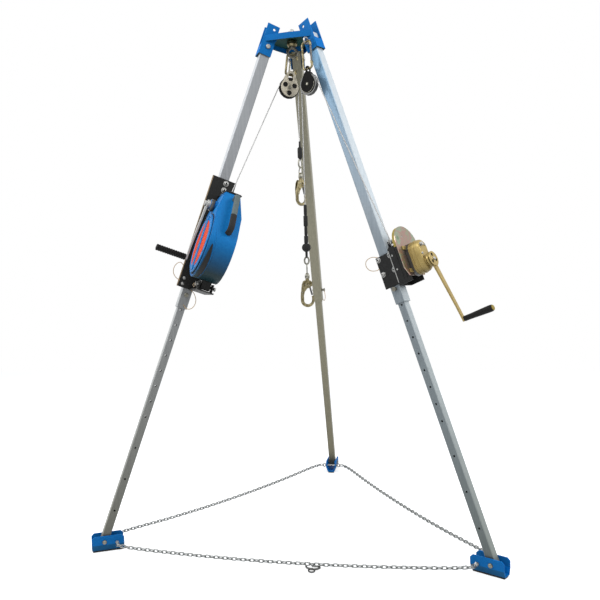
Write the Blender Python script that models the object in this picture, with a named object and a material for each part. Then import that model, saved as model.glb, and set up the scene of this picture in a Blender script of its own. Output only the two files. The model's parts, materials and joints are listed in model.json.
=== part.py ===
"""Confined space tripod with a retrieval block on one leg and a hand winch on another.

Metres, +Z up. The three leg stations lie at 210 degrees (left), 330 degrees (right) and
90 degrees (rear) round the Z axis, and the feet stand on Z = 0. Each leg has an empty on
its head pivot. In that empty's frame +X points out of the leg's outer face, +Y runs round
the tripod and +Z runs up the leg, so a place down the leg is a negative Z.
"""

import math

import bmesh
import bpy
from mathutils import Matrix, Vector

# Driving sizes: legs
LEG_LENGTH = 2.512           # foot pivot to head pivot, along the leg
LEG_TILT = math.radians(20.3)
HEAD_PIVOT_RADIUS = 0.1375   # tripod axis to the head pivots
FOOT_PIVOT_HEIGHT = 0.048
UPPER_TUBE = 0.0508
UPPER_WALL = 0.0032
LOWER_TUBE = 0.0381
LOWER_WALL = 0.0032
TUBE_CORNER = 0.003
HOLE_PITCH = 0.0762
HOLE_RADIUS = 0.0045
FIRST_HOLE = 0.1473          # foot pivot to the lowest hole
PIN_HOLE = 14                # the hole, counted in pitches, that the height pin goes through
HOLES = (0, 2, 4, 6, 7, 8, 9, 10, 11, 12, 13, PIN_HOLE)
UPPER_BELOW_PIN = 0.066      # upper tube below its height pin
UPPER_ABOVE_PIVOT = 0.048
LOWER_ABOVE_PIN = 0.264      # lower tube left inside the upper tube
LOWER_BELOW_PIVOT = 0.016
GAP = 0.0003                 # between pieces that touch

# Driving sizes: head
EAR_THICKNESS = 0.005
EAR_TOP = 0.114              # ear above the pivot
EAR_BOTTOM = 0.046           # ear below the pivot
EAR_IN = 0.028
EAR_OUT = 0.036
EAR_HOLE_RADIUS = 0.0065
EAR_HOLE_UP = 0.092
WEB_IN = 0.031               # leg centre to the web's inner face
WEB_TOP = 0.010
PLATE_THICKNESS = 0.006
PLATE_ABOVE_PIVOT = 0.051    # head pivots up to the underside of the head plate
FLANGE_DEPTH = 0.030
FLANGE_THICKNESS = 0.005
FLANGE_BOW = 0.005           # how far the middle of each flange stands out
PIVOT_BOLT_RADIUS = 0.0065
LAP = 0.001                  # how far the head's welded plates run into each other

STATIONS = {"left": 210, "right": 330, "rear": 90}
NEAR_SIDE = {"left": 1, "right": -1, "rear": -1}   # side of each leg that carries its pins

PIN_DROP = LEG_LENGTH - FIRST_HOLE - PIN_HOLE * HOLE_PITCH   # head pivot down to the pin
EAR_INNER = UPPER_TUBE / 2 + 0.0021
EAR_OUTER = EAR_INNER + EAR_THICKNESS
HEAD_PIVOT_Z = FOOT_PIVOT_HEIGHT + LEG_LENGTH * math.cos(LEG_TILT)
FOOT_PIVOT_RADIUS = HEAD_PIVOT_RADIUS + LEG_LENGTH * math.sin(LEG_TILT)


# Materials


def material(name, colour, roughness, metallic):
    made = bpy.data.materials.new(name)
    made.use_nodes = True
    shader = made.node_tree.nodes["Principled BSDF"]
    shader.inputs["Base Color"].default_value = (*colour, 1)
    shader.inputs["Roughness"].default_value = roughness
    shader.inputs["Metallic"].default_value = metallic
    made.diffuse_color = (*colour, 1)
    return made


# Shapes: each function returns a bmesh of one closed shell


def outward(bm):
    """Turns a closed shell's faces outwards."""
    bmesh.ops.recalc_face_normals(bm, faces=bm.faces)
    if bm.calc_volume(signed=True) < 0:
        bmesh.ops.reverse_faces(bm, faces=bm.faces)
    return bm


def prism(outline, low, high, inner=None):
    """An outline in X and Y, extruded along Z, with an inner outline of as many points as a bore."""
    bm = bmesh.new()
    loops = [outline] if inner is None else [outline, inner]
    rings = [[[bm.verts.new((x, y, z)) for x, y in loop] for z in (low, high)] for loop in loops]
    count = len(outline)
    for ring in rings:
        for i in range(count):
            j = (i + 1) % count
            bm.faces.new((ring[0][i], ring[0][j], ring[1][j], ring[1][i]))
    for end in (0, 1):
        if inner is None:
            bm.faces.new(rings[0][end])
            continue
        for i in range(count):
            j = (i + 1) % count
            bm.faces.new((rings[0][end][i], rings[0][end][j], rings[1][end][j], rings[1][end][i]))
    return outward(bm)


def box(low, high):
    outline = [(low[0], low[1]), (high[0], low[1]), (high[0], high[1]), (low[0], high[1])]
    return prism(outline, low[2], high[2])


def turned(profile, sides=16, closed=False):
    """A profile of (radius, height) points turned round Z. An open profile starts and ends on the axis."""
    bm = bmesh.new()
    rows = []
    for radius, height in profile:
        if radius == 0:
            rows.append([bm.verts.new((0, 0, height))] * sides)
            continue
        angles = [2 * math.pi * i / sides for i in range(sides)]
        rows.append([bm.verts.new((radius * math.cos(a), radius * math.sin(a), height)) for a in angles])
    pairs = list(zip(rows, rows[1:] + rows[:1])) if closed else list(zip(rows, rows[1:]))
    for lower, upper in pairs:
        for i in range(sides):
            j = (i + 1) % sides
            corners = []
            for vert in (lower[i], lower[j], upper[j], upper[i]):
                if vert not in corners:
                    corners.append(vert)
            bm.faces.new(corners)
    return outward(bm)


def rod(radius, low, high, sides=16, chamfer=0.0):
    profile = [(0, low), (radius - chamfer, low), (radius, low + chamfer)]
    profile += [(radius, high - chamfer), (radius - chamfer, high), (0, high)]
    if chamfer == 0:
        profile = [(0, low), (radius, low), (radius, high), (0, high)]
    return turned(profile, sides)


def drill(radius, low, high, sides=10):
    """A cutter whose flats stand at the radius, so that a round rod of less radius always clears it."""
    return rod(radius / math.cos(math.pi / sides), low, high, sides)


def swept(points, radii, sides=8, flat=1.0):
    """A round bar along a path in the XZ plane, made narrower or wider along Y by flat."""
    bm = bmesh.new()
    path = [Vector((x, 0, z)) for x, z in points]
    if not isinstance(radii, (list, tuple)):
        radii = [radii] * len(path)
    rings = []
    for i, centre in enumerate(path):
        ahead = path[min(i + 1, len(path) - 1)]
        behind = path[max(i - 1, 0)]
        along = (ahead - behind).normalized()
        across = Vector((along.z, 0, -along.x))
        ring = []
        for k in range(sides):
            angle = 2 * math.pi * (k + 0.5) / sides
            offset = across * math.cos(angle) + Vector((0, flat * math.sin(angle), 0))
            ring.append(bm.verts.new(centre + offset * radii[i]))
        rings.append(ring)
    for one, two in zip(rings, rings[1:]):
        for k in range(sides):
            j = (k + 1) % sides
            bm.faces.new((one[k], one[j], two[j], two[k]))
    bm.faces.new(rings[0])
    bm.faces.new(rings[-1])
    return outward(bm)


def lofted(sections):
    """Closed sections of as many 3-D points each, skinned and capped."""
    bm = bmesh.new()
    rings = [[bm.verts.new(point) for point in section] for section in sections]
    for one, two in zip(rings, rings[1:]):
        for k in range(len(one)):
            j = (k + 1) % len(one)
            bm.faces.new((one[k], one[j], two[j], two[k]))
    bm.faces.new(rings[0])
    bm.faces.new(rings[-1])
    return outward(bm)


def arc(centre, radius, start, end, count):
    """Points on an arc, from start to end in degrees."""
    angles = [math.radians(start + (end - start) * i / (count - 1)) for i in range(count)]
    return [(centre[0] + radius * math.cos(a), centre[1] + radius * math.sin(a)) for a in angles]


def rounded_square(half, corner):
    inner = half - corner
    places = ((inner, inner, 0), (-inner, inner, 90), (-inner, -inner, 180), (inner, -inner, 270))
    return [point for x, y, turn in places for point in arc((x, y), corner, turn, turn + 90, 2)]


def moved(bm, matrix):
    bm.transform(matrix)
    if matrix.determinant() < 0:
        bmesh.ops.reverse_faces(bm, faces=bm.faces)
    return bm


def joined(shells):
    """Shells that don't touch, as one mesh for a Boolean operand."""
    whole = bmesh.new()
    for shell in shells:
        mesh = bpy.data.meshes.new("shell")
        shell.to_mesh(mesh)
        shell.free()
        whole.from_mesh(mesh)
        bpy.data.meshes.remove(mesh)
    return whole


ALONG_Y = Matrix.Rotation(math.radians(-90), 4, "X")     # turns a shape's Z axis to +Y
ALONG_X = Matrix.Rotation(math.radians(90), 4, "Y")      # turns a shape's Z axis to +X
XZ_OUTLINE = Matrix.Rotation(math.radians(90), 4, "X")   # stands an XY outline up, depth along -Y
YZ_OUTLINE = Matrix(((0, 0, 1, 0), (1, 0, 0, 0), (0, 1, 0, 0), (0, 0, 0, 1)))   # outline in Y, Z


def at(x=0.0, y=0.0, z=0.0):
    return Matrix.Translation((x, y, z))


# Objects


def empty(name, matrix, parent=None):
    made = bpy.data.objects.new(name, None)
    made.empty_display_size = 0.05
    bpy.context.scene.collection.objects.link(made)
    made.parent = parent
    made.matrix_local = matrix
    return made


def piece(name, bm, look, parent=None, smooth=None):
    """One sub-part from one closed shell, shaded smooth below the angle given in degrees."""
    mesh = bpy.data.meshes.new(name)
    bm.to_mesh(mesh)
    bm.free()
    mesh.materials.append(look)
    if smooth:
        mesh.shade_smooth()
        mesh.set_sharp_from_angle(angle=math.radians(smooth))
    made = bpy.data.objects.new(name, mesh)
    bpy.context.scene.collection.objects.link(made)
    made.parent = parent
    return made


def boolean(target, operation, label, bm):
    """Cuts or adds a shape, kept as a hidden guide object beside its target."""
    mesh = bpy.data.meshes.new(f"{target.name}_{label}")
    bm.to_mesh(mesh)
    bm.free()
    guide = bpy.data.objects.new(mesh.name, mesh)
    bpy.context.scene.collection.objects.link(guide)
    guide.parent = target.parent
    guide.hide_render = True
    guide.display_type = "WIRE"
    step = target.modifiers.new(label, "BOOLEAN")
    step.operation = operation
    step.solver = "EXACT"
    step.object = guide


def cut(target, label, bm):
    boolean(target, "DIFFERENCE", label, bm)


def fuse(target, label, bm):
    boolean(target, "UNION", label, bm)


def cord(name, points, radius, look, resolution=2):
    """A cable or chain stand-in: a bevelled POLY curve with filled ends, in world metres."""
    curve = bpy.data.curves.new(name, "CURVE")
    curve.dimensions = "3D"
    curve.bevel_depth = radius
    curve.bevel_resolution = resolution
    curve.use_fill_caps = True
    spline = curve.splines.new("POLY")
    spline.points.add(len(points) - 1)
    for target, point in zip(spline.points, points):
        target.co = (*point, 1)
    curve.materials.append(look)
    made = bpy.data.objects.new(name, curve)
    bpy.context.scene.collection.objects.link(made)
    return made


def smooth_route(route, count):
    """Evenly spaced points on a smooth curve through the route's own points."""
    points = [Vector(p) for p in route]
    fine = []
    for i in range(len(points) - 1):
        before = points[max(i - 1, 0)]
        start, end = points[i], points[i + 1]
        after = points[min(i + 2, len(points) - 1)]
        span = (end - start).length
        leave = (end - before).normalized() * span
        arrive = (after - start).normalized() * span
        for k in range(20):
            s = k / 20
            fine.append(
                start * (2 * s**3 - 3 * s**2 + 1)
                + leave * (s**3 - 2 * s**2 + s)
                + end * (3 * s**2 - 2 * s**3)
                + arrive * (s**3 - s**2)
            )
    fine.append(points[-1])
    reach = [0.0]
    for one, two in zip(fine, fine[1:]):
        reach.append(reach[-1] + (two - one).length)
    spaced = []
    k = 0
    for i in range(count):
        want = reach[-1] * i / (count - 1)
        while k < len(reach) - 2 and reach[k + 1] < want:
            k += 1
        share = (want - reach[k]) / (reach[k + 1] - reach[k])
        spaced.append(fine[k].lerp(fine[k + 1], share))
    return spaced


def leg_matrix(side):
    """The leg's frame at its head pivot."""
    turn = Matrix.Rotation(math.radians(STATIONS[side]), 4, "Z")
    tilt = Matrix.Rotation(-LEG_TILT, 4, "Y")
    return turn @ at(HEAD_PIVOT_RADIUS, 0, HEAD_PIVOT_Z) @ tilt


def station_matrix(side):
    """An upright frame on the tripod axis at floor level, +X towards the station."""
    return Matrix.Rotation(math.radians(STATIONS[side]), 4, "Z")


# Head


def head_frame(blue):
    """Welded head: a notched plate with three long flanges, and a U bracket for each leg."""
    plate_low = HEAD_PIVOT_Z + PLATE_ABOVE_PIVOT
    plate_high = plate_low + PLATE_THICKNESS
    flange_low = plate_high - FLANGE_DEPTH
    tube_top_radius = HEAD_PIVOT_RADIUS - math.sin(LEG_TILT) * UPPER_ABOVE_PIVOT
    stop_face = tube_top_radius - math.cos(LEG_TILT) * UPPER_TUBE / 2 - GAP
    reach = HEAD_PIVOT_RADIUS + (EAR_OUT - LAP) * math.cos(LEG_TILT) - PLATE_ABOVE_PIVOT * math.sin(LEG_TILT)
    corners = []
    for side in ("rear", "left", "right"):
        turn = math.radians(STATIONS[side])
        out = Vector((math.cos(turn), math.sin(turn)))
        round_ = Vector((-out.y, out.x))
        corners += [out * reach - round_ * (EAR_OUTER - LAP), out * reach + round_ * (EAR_OUTER - LAP)]
    outline = []
    flanges = []
    for i in range(3):
        one, two = corners[2 * i + 1], corners[(2 * i + 2) % 6]
        middle = (one + two) / 2
        inward = -middle.normalized()
        middle -= inward * FLANGE_BOW
        outline += [tuple(p + inward * LAP) for p in (one, middle, two)]
        strip = [one, middle, two] + [p + inward * FLANGE_THICKNESS for p in (two, middle, one)]
        flanges.append(prism([tuple(p) for p in strip], flange_low, plate_high - LAP))
    frame = piece("head_frame", prism(outline, plate_low, plate_high), blue)

    notches, stops, ears, webs, bores = [], [], [], [], []
    for side in STATIONS:
        upright = station_matrix(side)
        tilted = leg_matrix(side)
        half = EAR_INNER + 2 * LAP
        notch = box((stop_face - LAP, -half, plate_low - 0.01), (reach + 0.05, half, plate_high + 0.01))
        notches.append(moved(notch, upright))
        stop = box((stop_face - FLANGE_THICKNESS, -half - LAP, flange_low), (stop_face, half + LAP, plate_low + LAP))
        stops.append(moved(stop, upright))
        for low in (-EAR_OUTER, EAR_INNER):
            ear = box((-EAR_IN, low, -EAR_BOTTOM), (EAR_OUT, low + EAR_THICKNESS, EAR_TOP))
            ears.append(moved(ear, tilted))
        web = box((WEB_IN, -half, -EAR_BOTTOM + LAP / 2), (EAR_OUT - LAP / 2, half, WEB_TOP))
        webs.append(moved(web, tilted))
        bores.append(moved(drill(PIVOT_BOLT_RADIUS + GAP, -0.06, 0.06), tilted @ ALONG_Y))
        ear_bore = drill(EAR_HOLE_RADIUS, -0.06, 0.06)
        bores.append(moved(ear_bore, tilted @ at(-0.004, 0, EAR_HOLE_UP) @ ALONG_Y))
    bores.append(drill(EYE_SHANK + GAP, plate_low - 0.01, plate_high + 0.01))
    cut(frame, "notches", joined(notches))
    fuse(frame, "flanges", joined(flanges))
    fuse(frame, "ears", joined(ears))
    fuse(frame, "webs", joined(webs))
    fuse(frame, "stops", joined(stops))
    cut(frame, "bores", joined(bores))
    return frame


EYE_SHANK = 0.012
EYE_BAR = 0.008
EYE_INNER = 0.016
EYE_DROP = 0.060            # head plate's underside down to the eye's centre
NUT_WIDTH = 0.042
NUT_HEIGHT = 0.022


def eye_ring(inner, bar, sides=12, bar_sides=6):
    """A ring round Y."""
    middle = inner + bar
    section = [(middle + x, z) for x, z in arc((0, 0), bar, 0, 360 - 360 / bar_sides, bar_sides)]
    return moved(turned(section, sides, closed=True), ALONG_Y)


def hexagon(width):
    return arc((0, 0), width / math.sqrt(3), 0, 300, 6)


def head_eye_bolt(steel):
    """Forged eye bolt through the head plate, with its collar below and its nut and washer above."""
    low = HEAD_PIVOT_Z + PLATE_ABOVE_PIVOT
    high = low + PLATE_THICKNESS
    collar = 0.010
    washer = 0.004
    tail = high + washer + NUT_HEIGHT + 0.008
    eye = low - EYE_DROP
    profile = [(0, eye + EYE_INNER + 0.004), (EYE_SHANK, eye + EYE_INNER + 0.004)]
    profile += [(EYE_SHANK, low - collar - 0.006), (0.022, low - collar), (0.022, low - GAP)]
    profile += [(EYE_SHANK, low - GAP), (EYE_SHANK, high + GAP), (0.026, high + GAP)]
    profile += [(0.026, high + washer), (EYE_SHANK, high + washer), (EYE_SHANK, tail), (0, tail)]
    bolt = piece("head_eye_bolt", turned(profile, 10), steel, smooth=40)
    fuse(bolt, "eye", moved(eye_ring(EYE_INNER, EYE_BAR), at(z=eye) @ Matrix.Rotation(math.radians(30), 4, "Z")))
    nut_low = high + washer - 0.001
    fuse(bolt, "nut", prism(hexagon(NUT_WIDTH), nut_low, nut_low + NUT_HEIGHT))


def pivot_matrix(side):
    """An upright frame on a leg's head pivot."""
    return station_matrix(side) @ at(HEAD_PIVOT_RADIUS, 0, HEAD_PIVOT_Z)


PIVOT_EYE_INNER = 0.011
PIVOT_EYE_BAR = 0.0045
PIVOT_EYE_OUT = EAR_OUTER + 0.024     # leg centre to the pivot eye's centre


def pivot_bolt(side, steel):
    """Leg pivot through both ears, with a nut on the far side. The right one ends in an eye."""
    far = EAR_OUTER + 0.014
    seat = EAR_OUTER + GAP
    profile = [(0, -far), (0.011, -far), (0.011, -seat), (PIVOT_BOLT_RADIUS, -seat)]
    profile += [(PIVOT_BOLT_RADIUS, seat), (0.012, seat), (0.012, seat + 0.005), (0.009, seat + 0.008)]
    profile += [(0, seat + 0.008)]
    place = pivot_matrix(side) @ Matrix.Diagonal((1, NEAR_SIDE[side], 1, 1))
    bolt = piece(f"pivot_bolt_{side}", moved(turned(profile, 10), place @ ALONG_Y), steel, smooth=40)
    if side == "right":
        ring = moved(eye_ring(PIVOT_EYE_INNER, PIVOT_EYE_BAR), Matrix.Rotation(math.radians(90), 4, "Z"))
        fuse(bolt, "eye", moved(ring, place @ at(y=PIVOT_EYE_OUT)))


# Legs and feet


def tube(name, width, wall, low, high, look, leg, bores):
    half = width / 2
    outer = rounded_square(half, TUBE_CORNER)
    inner = rounded_square(half - wall, TUBE_CORNER / 2)
    made = piece(name, prism(outer, low, high, inner), look, leg, smooth=35)
    cut(made, "bores", joined(bores))
    return made


def leg(side, metal, steel, black, frame):
    """The two square tubes of a leg, one in the other, and the pin that sets its height."""
    near = NEAR_SIDE[side]
    half = UPPER_TUBE / 2
    upper_bores = [
        moved(drill(PIVOT_BOLT_RADIUS + GAP, -0.05, 0.05), ALONG_Y),
        moved(drill(HOLE_RADIUS, -0.05, 0.05, sides=8), at(z=-PIN_DROP) @ ALONG_Y),
    ]
    tube(f"upper_leg_{side}", UPPER_TUBE, UPPER_WALL, -PIN_DROP - UPPER_BELOW_PIN, UPPER_ABOVE_PIVOT,
         metal, frame, upper_bores)
    lower_bores = [moved(drill(FOOT_BOLT_RADIUS + GAP, -0.05, 0.05), at(z=-LEG_LENGTH) @ ALONG_Y)]
    for k in HOLES:
        drop = LEG_LENGTH - FIRST_HOLE - k * HOLE_PITCH
        lower_bores.append(moved(drill(HOLE_RADIUS, -0.05, 0.05, sides=6), at(z=-drop) @ ALONG_Y))
    tube(f"lower_leg_{side}", LOWER_TUBE, LOWER_WALL, -LEG_LENGTH - LOWER_BELOW_PIVOT,
         -PIN_DROP + LOWER_ABOVE_PIN, metal, frame, lower_bores)
    shank = HOLE_RADIUS - GAP
    seat = half + GAP
    profile = [(0, -half - 0.008), (shank, -half - 0.006), (shank, seat), (0.009, seat)]
    profile += [(0.009, seat + 0.004), (0.006, seat + 0.004), (0.006, seat + 0.010), (0.011, seat + 0.011)]
    profile += [(0.011, seat + 0.016), (0.009, seat + 0.018), (0, seat + 0.018)]
    place = Matrix.Diagonal((1, near, 1, 1)) @ at(z=-PIN_DROP) @ ALONG_Y
    piece(f"height_pin_{side}", moved(turned(profile, 8), place), steel, frame, smooth=40)


FOOT_BOLT_RADIUS = 0.006
FOOT_OUT = 0.057            # foot pivot to the foot's outer end
FOOT_LENGTH = 0.147
FOOT_HALF = 0.031
FOOT_SIDE = 0.006
FOOT_TOP = 0.075
FOOT_WEB_LOW = 0.008
FOOT_WEB = 0.005
FOOT_WEB_HALF = 0.020
FOOT_BEND = 0.035
CHAIN_HOLE_IN = 0.057       # foot pivot inward to the chain holes
CHAIN_HOLE_UP = 0.042
SHACKLE_BAR = 0.005
SHACKLE_EYE_OUT = 0.046     # foot centre to each shackle eye's centre
SHACKLE_EYE_INNER = 0.006
SHACKLE_EYE_BAR = 0.0035


def foot(side, blue, steel, rubber):
    """Folded channel foot on a rubber pad, its pivot bolt, and the shackle that takes two chains."""
    frame = empty(f"foot_frame_{side}", station_matrix(side) @ at(FOOT_PIVOT_RADIUS))
    right_half = [(FOOT_WEB_HALF, FOOT_WEB_LOW), (FOOT_HALF, FOOT_BEND), (FOOT_HALF, FOOT_TOP)]
    right_half += [(FOOT_HALF - FOOT_SIDE, FOOT_TOP), (FOOT_HALF - FOOT_SIDE, FOOT_BEND + 0.0015)]
    right_half += [(FOOT_WEB_HALF - 0.0045, FOOT_WEB_LOW + FOOT_WEB)]
    outline = right_half + [(-y, z) for y, z in reversed(right_half)]
    channel = moved(prism(outline, FOOT_OUT - FOOT_LENGTH, FOOT_OUT), YZ_OUTLINE)
    made = piece(f"foot_{side}", channel, blue, frame)
    holes = [
        moved(drill(FOOT_BOLT_RADIUS + GAP, -0.05, 0.05), at(z=FOOT_PIVOT_HEIGHT) @ ALONG_Y),
        moved(drill(SHACKLE_BAR + GAP, -0.05, 0.05), at(-CHAIN_HOLE_IN, 0, CHAIN_HOLE_UP) @ ALONG_Y),
    ]
    cut(made, "holes", joined(holes))
    corners = []
    for x in (FOOT_OUT, FOOT_OUT - FOOT_LENGTH):
        wedge = box((-0.008, -0.05, -0.008), (0.008, 0.05, 0.008))
        corners.append(moved(wedge, at(x, 0, FOOT_TOP) @ Matrix.Rotation(math.radians(45), 4, "Y")))
    cut(made, "corners", joined(corners))

    pad_out = FOOT_OUT - 0.0035
    pad = box((pad_out - 0.140, -0.018, 0), (pad_out, 0.018, FOOT_WEB_LOW - GAP))
    piece(f"foot_pad_{side}", pad, rubber, frame)

    seat = FOOT_HALF + GAP
    profile = [(0, -seat - 0.010), (0.009, -seat - 0.010), (0.0105, -seat - 0.008), (0.0105, -seat)]
    profile += [(FOOT_BOLT_RADIUS, -seat), (FOOT_BOLT_RADIUS, seat), (0.011, seat)]
    profile += [(0.010, seat + 0.004), (0.006, seat + 0.007), (0, seat + 0.007)]
    place = at(z=FOOT_PIVOT_HEIGHT) @ Matrix.Diagonal((1, NEAR_SIDE[side], 1, 1)) @ ALONG_Y
    piece(f"foot_bolt_{side}", moved(turned(profile, 8), place), steel, frame, smooth=40)

    collar = (0.008, 0.0035)
    profile = [(0, -seat - 0.006), (SHACKLE_BAR, -seat - 0.006), (SHACKLE_BAR, -seat - collar[1])]
    profile += [(collar[0], -seat - collar[1]), (collar[0], -seat), (SHACKLE_BAR, -seat)]
    profile += [(r, -z) for r, z in reversed(profile)]
    place = at(-CHAIN_HOLE_IN, 0, CHAIN_HOLE_UP)
    shackle = piece(f"shackle_{side}", moved(turned(profile, 6), place @ ALONG_Y), steel, frame, smooth=50)
    rings = []
    for sign in (1, -1):
        ring = eye_ring(SHACKLE_EYE_INNER, SHACKLE_EYE_BAR, 8, 4)
        turn = Matrix.Rotation(math.radians(90), 4, "Z")
        rings.append(moved(ring, place @ at(y=sign * SHACKLE_EYE_OUT) @ turn))
    fuse(shackle, "eyes", joined(rings))


CHAIN_RADIUS = 0.009
CHAIN_SAG = 0.026


def chain(name, start, end, steel):
    """A spreader chain between two feet, as a plain round cord of the chain's own width."""
    reach = SHACKLE_EYE_OUT + SHACKLE_EYE_INNER + 2 * SHACKLE_EYE_BAR + GAP
    ends = []
    for side, sign in (start, end):
        frame = station_matrix(side) @ at(FOOT_PIVOT_RADIUS - CHAIN_HOLE_IN, 0, CHAIN_HOLE_UP)
        first = frame @ Vector((0, sign * reach, 0))
        ends.append((first, (frame @ Vector((0, sign * (reach + 0.05), 0)) - first).normalized()))
    (one, leave_one), (two, leave_two) = ends
    route = [one + leave_one * 0.018]
    first, last = one + leave_one * 0.030, two + leave_two * 0.030
    for s in (0.05, 0.2, 0.35, 0.5, 0.65, 0.8, 0.95):
        point = first.lerp(last, s)
        point.z -= CHAIN_SAG * 4 * s * (1 - s)
        route.append(point)
    route.append(two + leave_two * 0.018)
    return cord(name, [one] + smooth_route(route, 26) + [two], CHAIN_RADIUS, steel, 1)


# Pulleys and their carabiners


GATE_RADIUS = 0.0045
GATE_PIN = 0.0018
GATE_LOW = 0.003            # gate's hinge pin to its end face


def gate_fork(back):
    """The fork and the pin that carry a gate along +Z from the origin, to be fused to a link's end."""
    ear_in, ear_out = GATE_RADIUS + 0.0004, GATE_RADIUS + 0.0024
    outline = [(-ear_out, back), (ear_out, back), (ear_out, 0.0035), (ear_in, 0.0035), (ear_in, -0.005)]
    outline += [(-ear_in, -0.005), (-ear_in, 0.0035), (-ear_out, 0.0035)]
    fork = moved(prism(outline, -0.0035, 0.0035), YZ_OUTLINE)
    return fork, moved(rod(GATE_PIN, -ear_in - 0.001, ear_in + 0.001, 8), ALONG_Y)


def gate(name, length, look, matrix):
    """A round gate along +Z from its hinge pin, which lies along Y."""
    shell = rod(GATE_RADIUS, -GATE_LOW, length - GATE_LOW, 10, chamfer=0.0022)
    made = piece(name, moved(shell, matrix), look, smooth=40)
    cut(made, "pin", moved(drill(GATE_PIN + GAP, -0.01, 0.01, 8), matrix @ ALONG_Y))
    return made


LINK_BAR = 0.0055
LINK_HALF = 0.026           # half the width of a carabiner's centreline
LINK_TOP_BEND = 0.017
LINK_LOW_BEND = 0.0115


def carabiner(name, drop, look, gate_look, matrix):
    """D-shaped carabiner. Its frame lies on the top bar's centre, with its plane in XZ."""
    top, low = LINK_TOP_BEND, LINK_LOW_BEND
    hinge_z = -drop + 0.0295
    nose_z = -0.024
    path = [(LINK_HALF, nose_z)]
    path += arc((LINK_HALF - top, -top), top, 0, 90, 5)
    path += arc((-LINK_HALF + top, -top), top, 90, 180, 5)
    path += arc((-LINK_HALF + low, -drop + low), low, 180, 270, 5)
    path += arc((LINK_HALF - low, -drop + low), low, 270, 360, 5)
    path += [(LINK_HALF, hinge_z - GATE_LOW - 0.001)]
    body = piece(name, moved(swept(path, LINK_BAR, 6), matrix), look, smooth=50)
    hinge = matrix @ at(LINK_HALF, 0, hinge_z)
    fork, pin = gate_fork(-0.010)
    fuse(body, "fork", moved(fork, hinge))
    fuse(body, "pin", moved(pin, hinge))
    gate(f"{name}_gate", nose_z - 0.0006 - (hinge_z - GATE_LOW), gate_look, hinge)


SHEAVE_RADIUS = 0.052
SHEAVE_GROOVE = 0.045
SHEAVE_HALF = 0.010
CABLE_RADIUS = 0.0025
CABLE_TURN = SHEAVE_GROOVE + CABLE_RADIUS + 0.0006
SLOT_RADIUS = 0.0545
SLOT_HALF = SHEAVE_HALF + 0.0005
FRAME_HALF = SLOT_HALF + 0.003
FRAME_DISC = 0.042
AXLE = 0.006


def hull_outline(radius, top_radius, top, count=9):
    """Two discs, one at the origin and one above it, in one outline."""
    lean = math.degrees(math.asin((radius - top_radius) / top))
    low = arc((0, 0), radius, 180 - lean, 360 + lean, count + 2)
    return low + arc((0, top), top_radius, lean, 180 - lean, count)


def pulley(name, matrix, cheek, black, top_radius, top, eye):
    """Frame with two cheeks, its fused axle, and a sheave. The sheave's axis is Y."""
    outline = hull_outline(FRAME_DISC, top_radius, top)
    stand = matrix @ XZ_OUTLINE
    frame = piece(f"{name}_frame", moved(prism(outline, -FRAME_HALF, FRAME_HALF), stand), cheek, smooth=35)
    cut(frame, "slot", moved(drill(SLOT_RADIUS, -SLOT_HALF, SLOT_HALF, 20), matrix @ ALONG_Y))
    if eye == "window":
        window = arc((0, 0.0595), 0.0125, 0, 180, 7) + arc((0, 0.0445), 0.0125, 180, 360, 7)
        holes = [moved(prism(window, -0.02, 0.02), stand)]
        for turn in (210, 330, 270):
            x, z = 0.027 * math.cos(math.radians(turn)), 0.027 * math.sin(math.radians(turn))
            holes.append(moved(drill(0.0065, -0.02, 0.02, 8), matrix @ at(x, 0, z) @ ALONG_Y))
        cut(frame, "holes", joined(holes))
    axle = rod(AXLE, -FRAME_HALF - 0.003, FRAME_HALF + 0.003, 12, chamfer=0.001)
    fuse(frame, "axle", moved(axle, matrix @ ALONG_Y))
    if eye == "ring":
        ring = moved(eye_ring(0.0105, 0.0045), Matrix.Rotation(math.radians(90), 4, "Z"))
        fuse(frame, "ring", moved(ring, matrix @ at(z=PULLEY_RING_UP)))
    profile = [(AXLE + GAP, -SHEAVE_HALF), (SHEAVE_RADIUS, -SHEAVE_HALF), (SHEAVE_RADIUS, -0.0075)]
    profile += [(SHEAVE_GROOVE, -0.0035), (SHEAVE_GROOVE, 0.0035), (SHEAVE_RADIUS, 0.0075)]
    profile += [(SHEAVE_RADIUS, SHEAVE_HALF), (AXLE + GAP, SHEAVE_HALF)]
    bored = [((r / math.cos(math.pi / 16)) if r < 0.01 else r, z) for r, z in profile]
    piece(f"{name}_sheave", moved(turned(bored, 16, closed=True), matrix @ ALONG_Y), black, smooth=35)


PULLEY_RING_UP = 0.0728
LEFT_LINK_DROP = 0.1055       # carabiner's top bar centre to its bottom bar centre
LEFT_PULLEY_DROP = LEFT_LINK_DROP + 0.0662
LEFT_SWING = math.atan2(0.0235, LEFT_PULLEY_DROP)
LEFT_SHEAVE_TURN = math.radians(30)
RIGHT_LINK_DROP = 0.132
RIGHT_PULLEY_DROP = RIGHT_LINK_DROP + PULLEY_RING_UP + 0.0105 - LINK_BAR - GAP
RIGHT_SWING = math.atan2(0.0125, RIGHT_PULLEY_DROP)


def left_hang():
    """Frame on the left carabiner's top bar: X in the sheave's plane, Y along the sheave's axis."""
    bar = HEAD_PIVOT_Z + PLATE_ABOVE_PIVOT - EYE_DROP - EYE_INNER + LINK_BAR + GAP
    return at(z=bar) @ Matrix.Rotation(LEFT_SHEAVE_TURN, 4, "Z") @ Matrix.Rotation(LEFT_SWING, 4, "Y")


def right_hang():
    bar = -PIVOT_EYE_INNER + LINK_BAR + GAP
    eye = pivot_matrix("right") @ at(0, NEAR_SIDE["right"] * PIVOT_EYE_OUT, bar)
    return eye @ Matrix.Rotation(-RIGHT_SWING, 4, "Y")


def left_pulley_matrix():
    return left_hang() @ at(z=-LEFT_PULLEY_DROP)


def right_pulley_matrix():
    return right_hang() @ at(z=-RIGHT_PULLEY_DROP)


# Retrieval block on the left leg: places are (n, t, u), with u from the foot pivot up the leg


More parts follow.
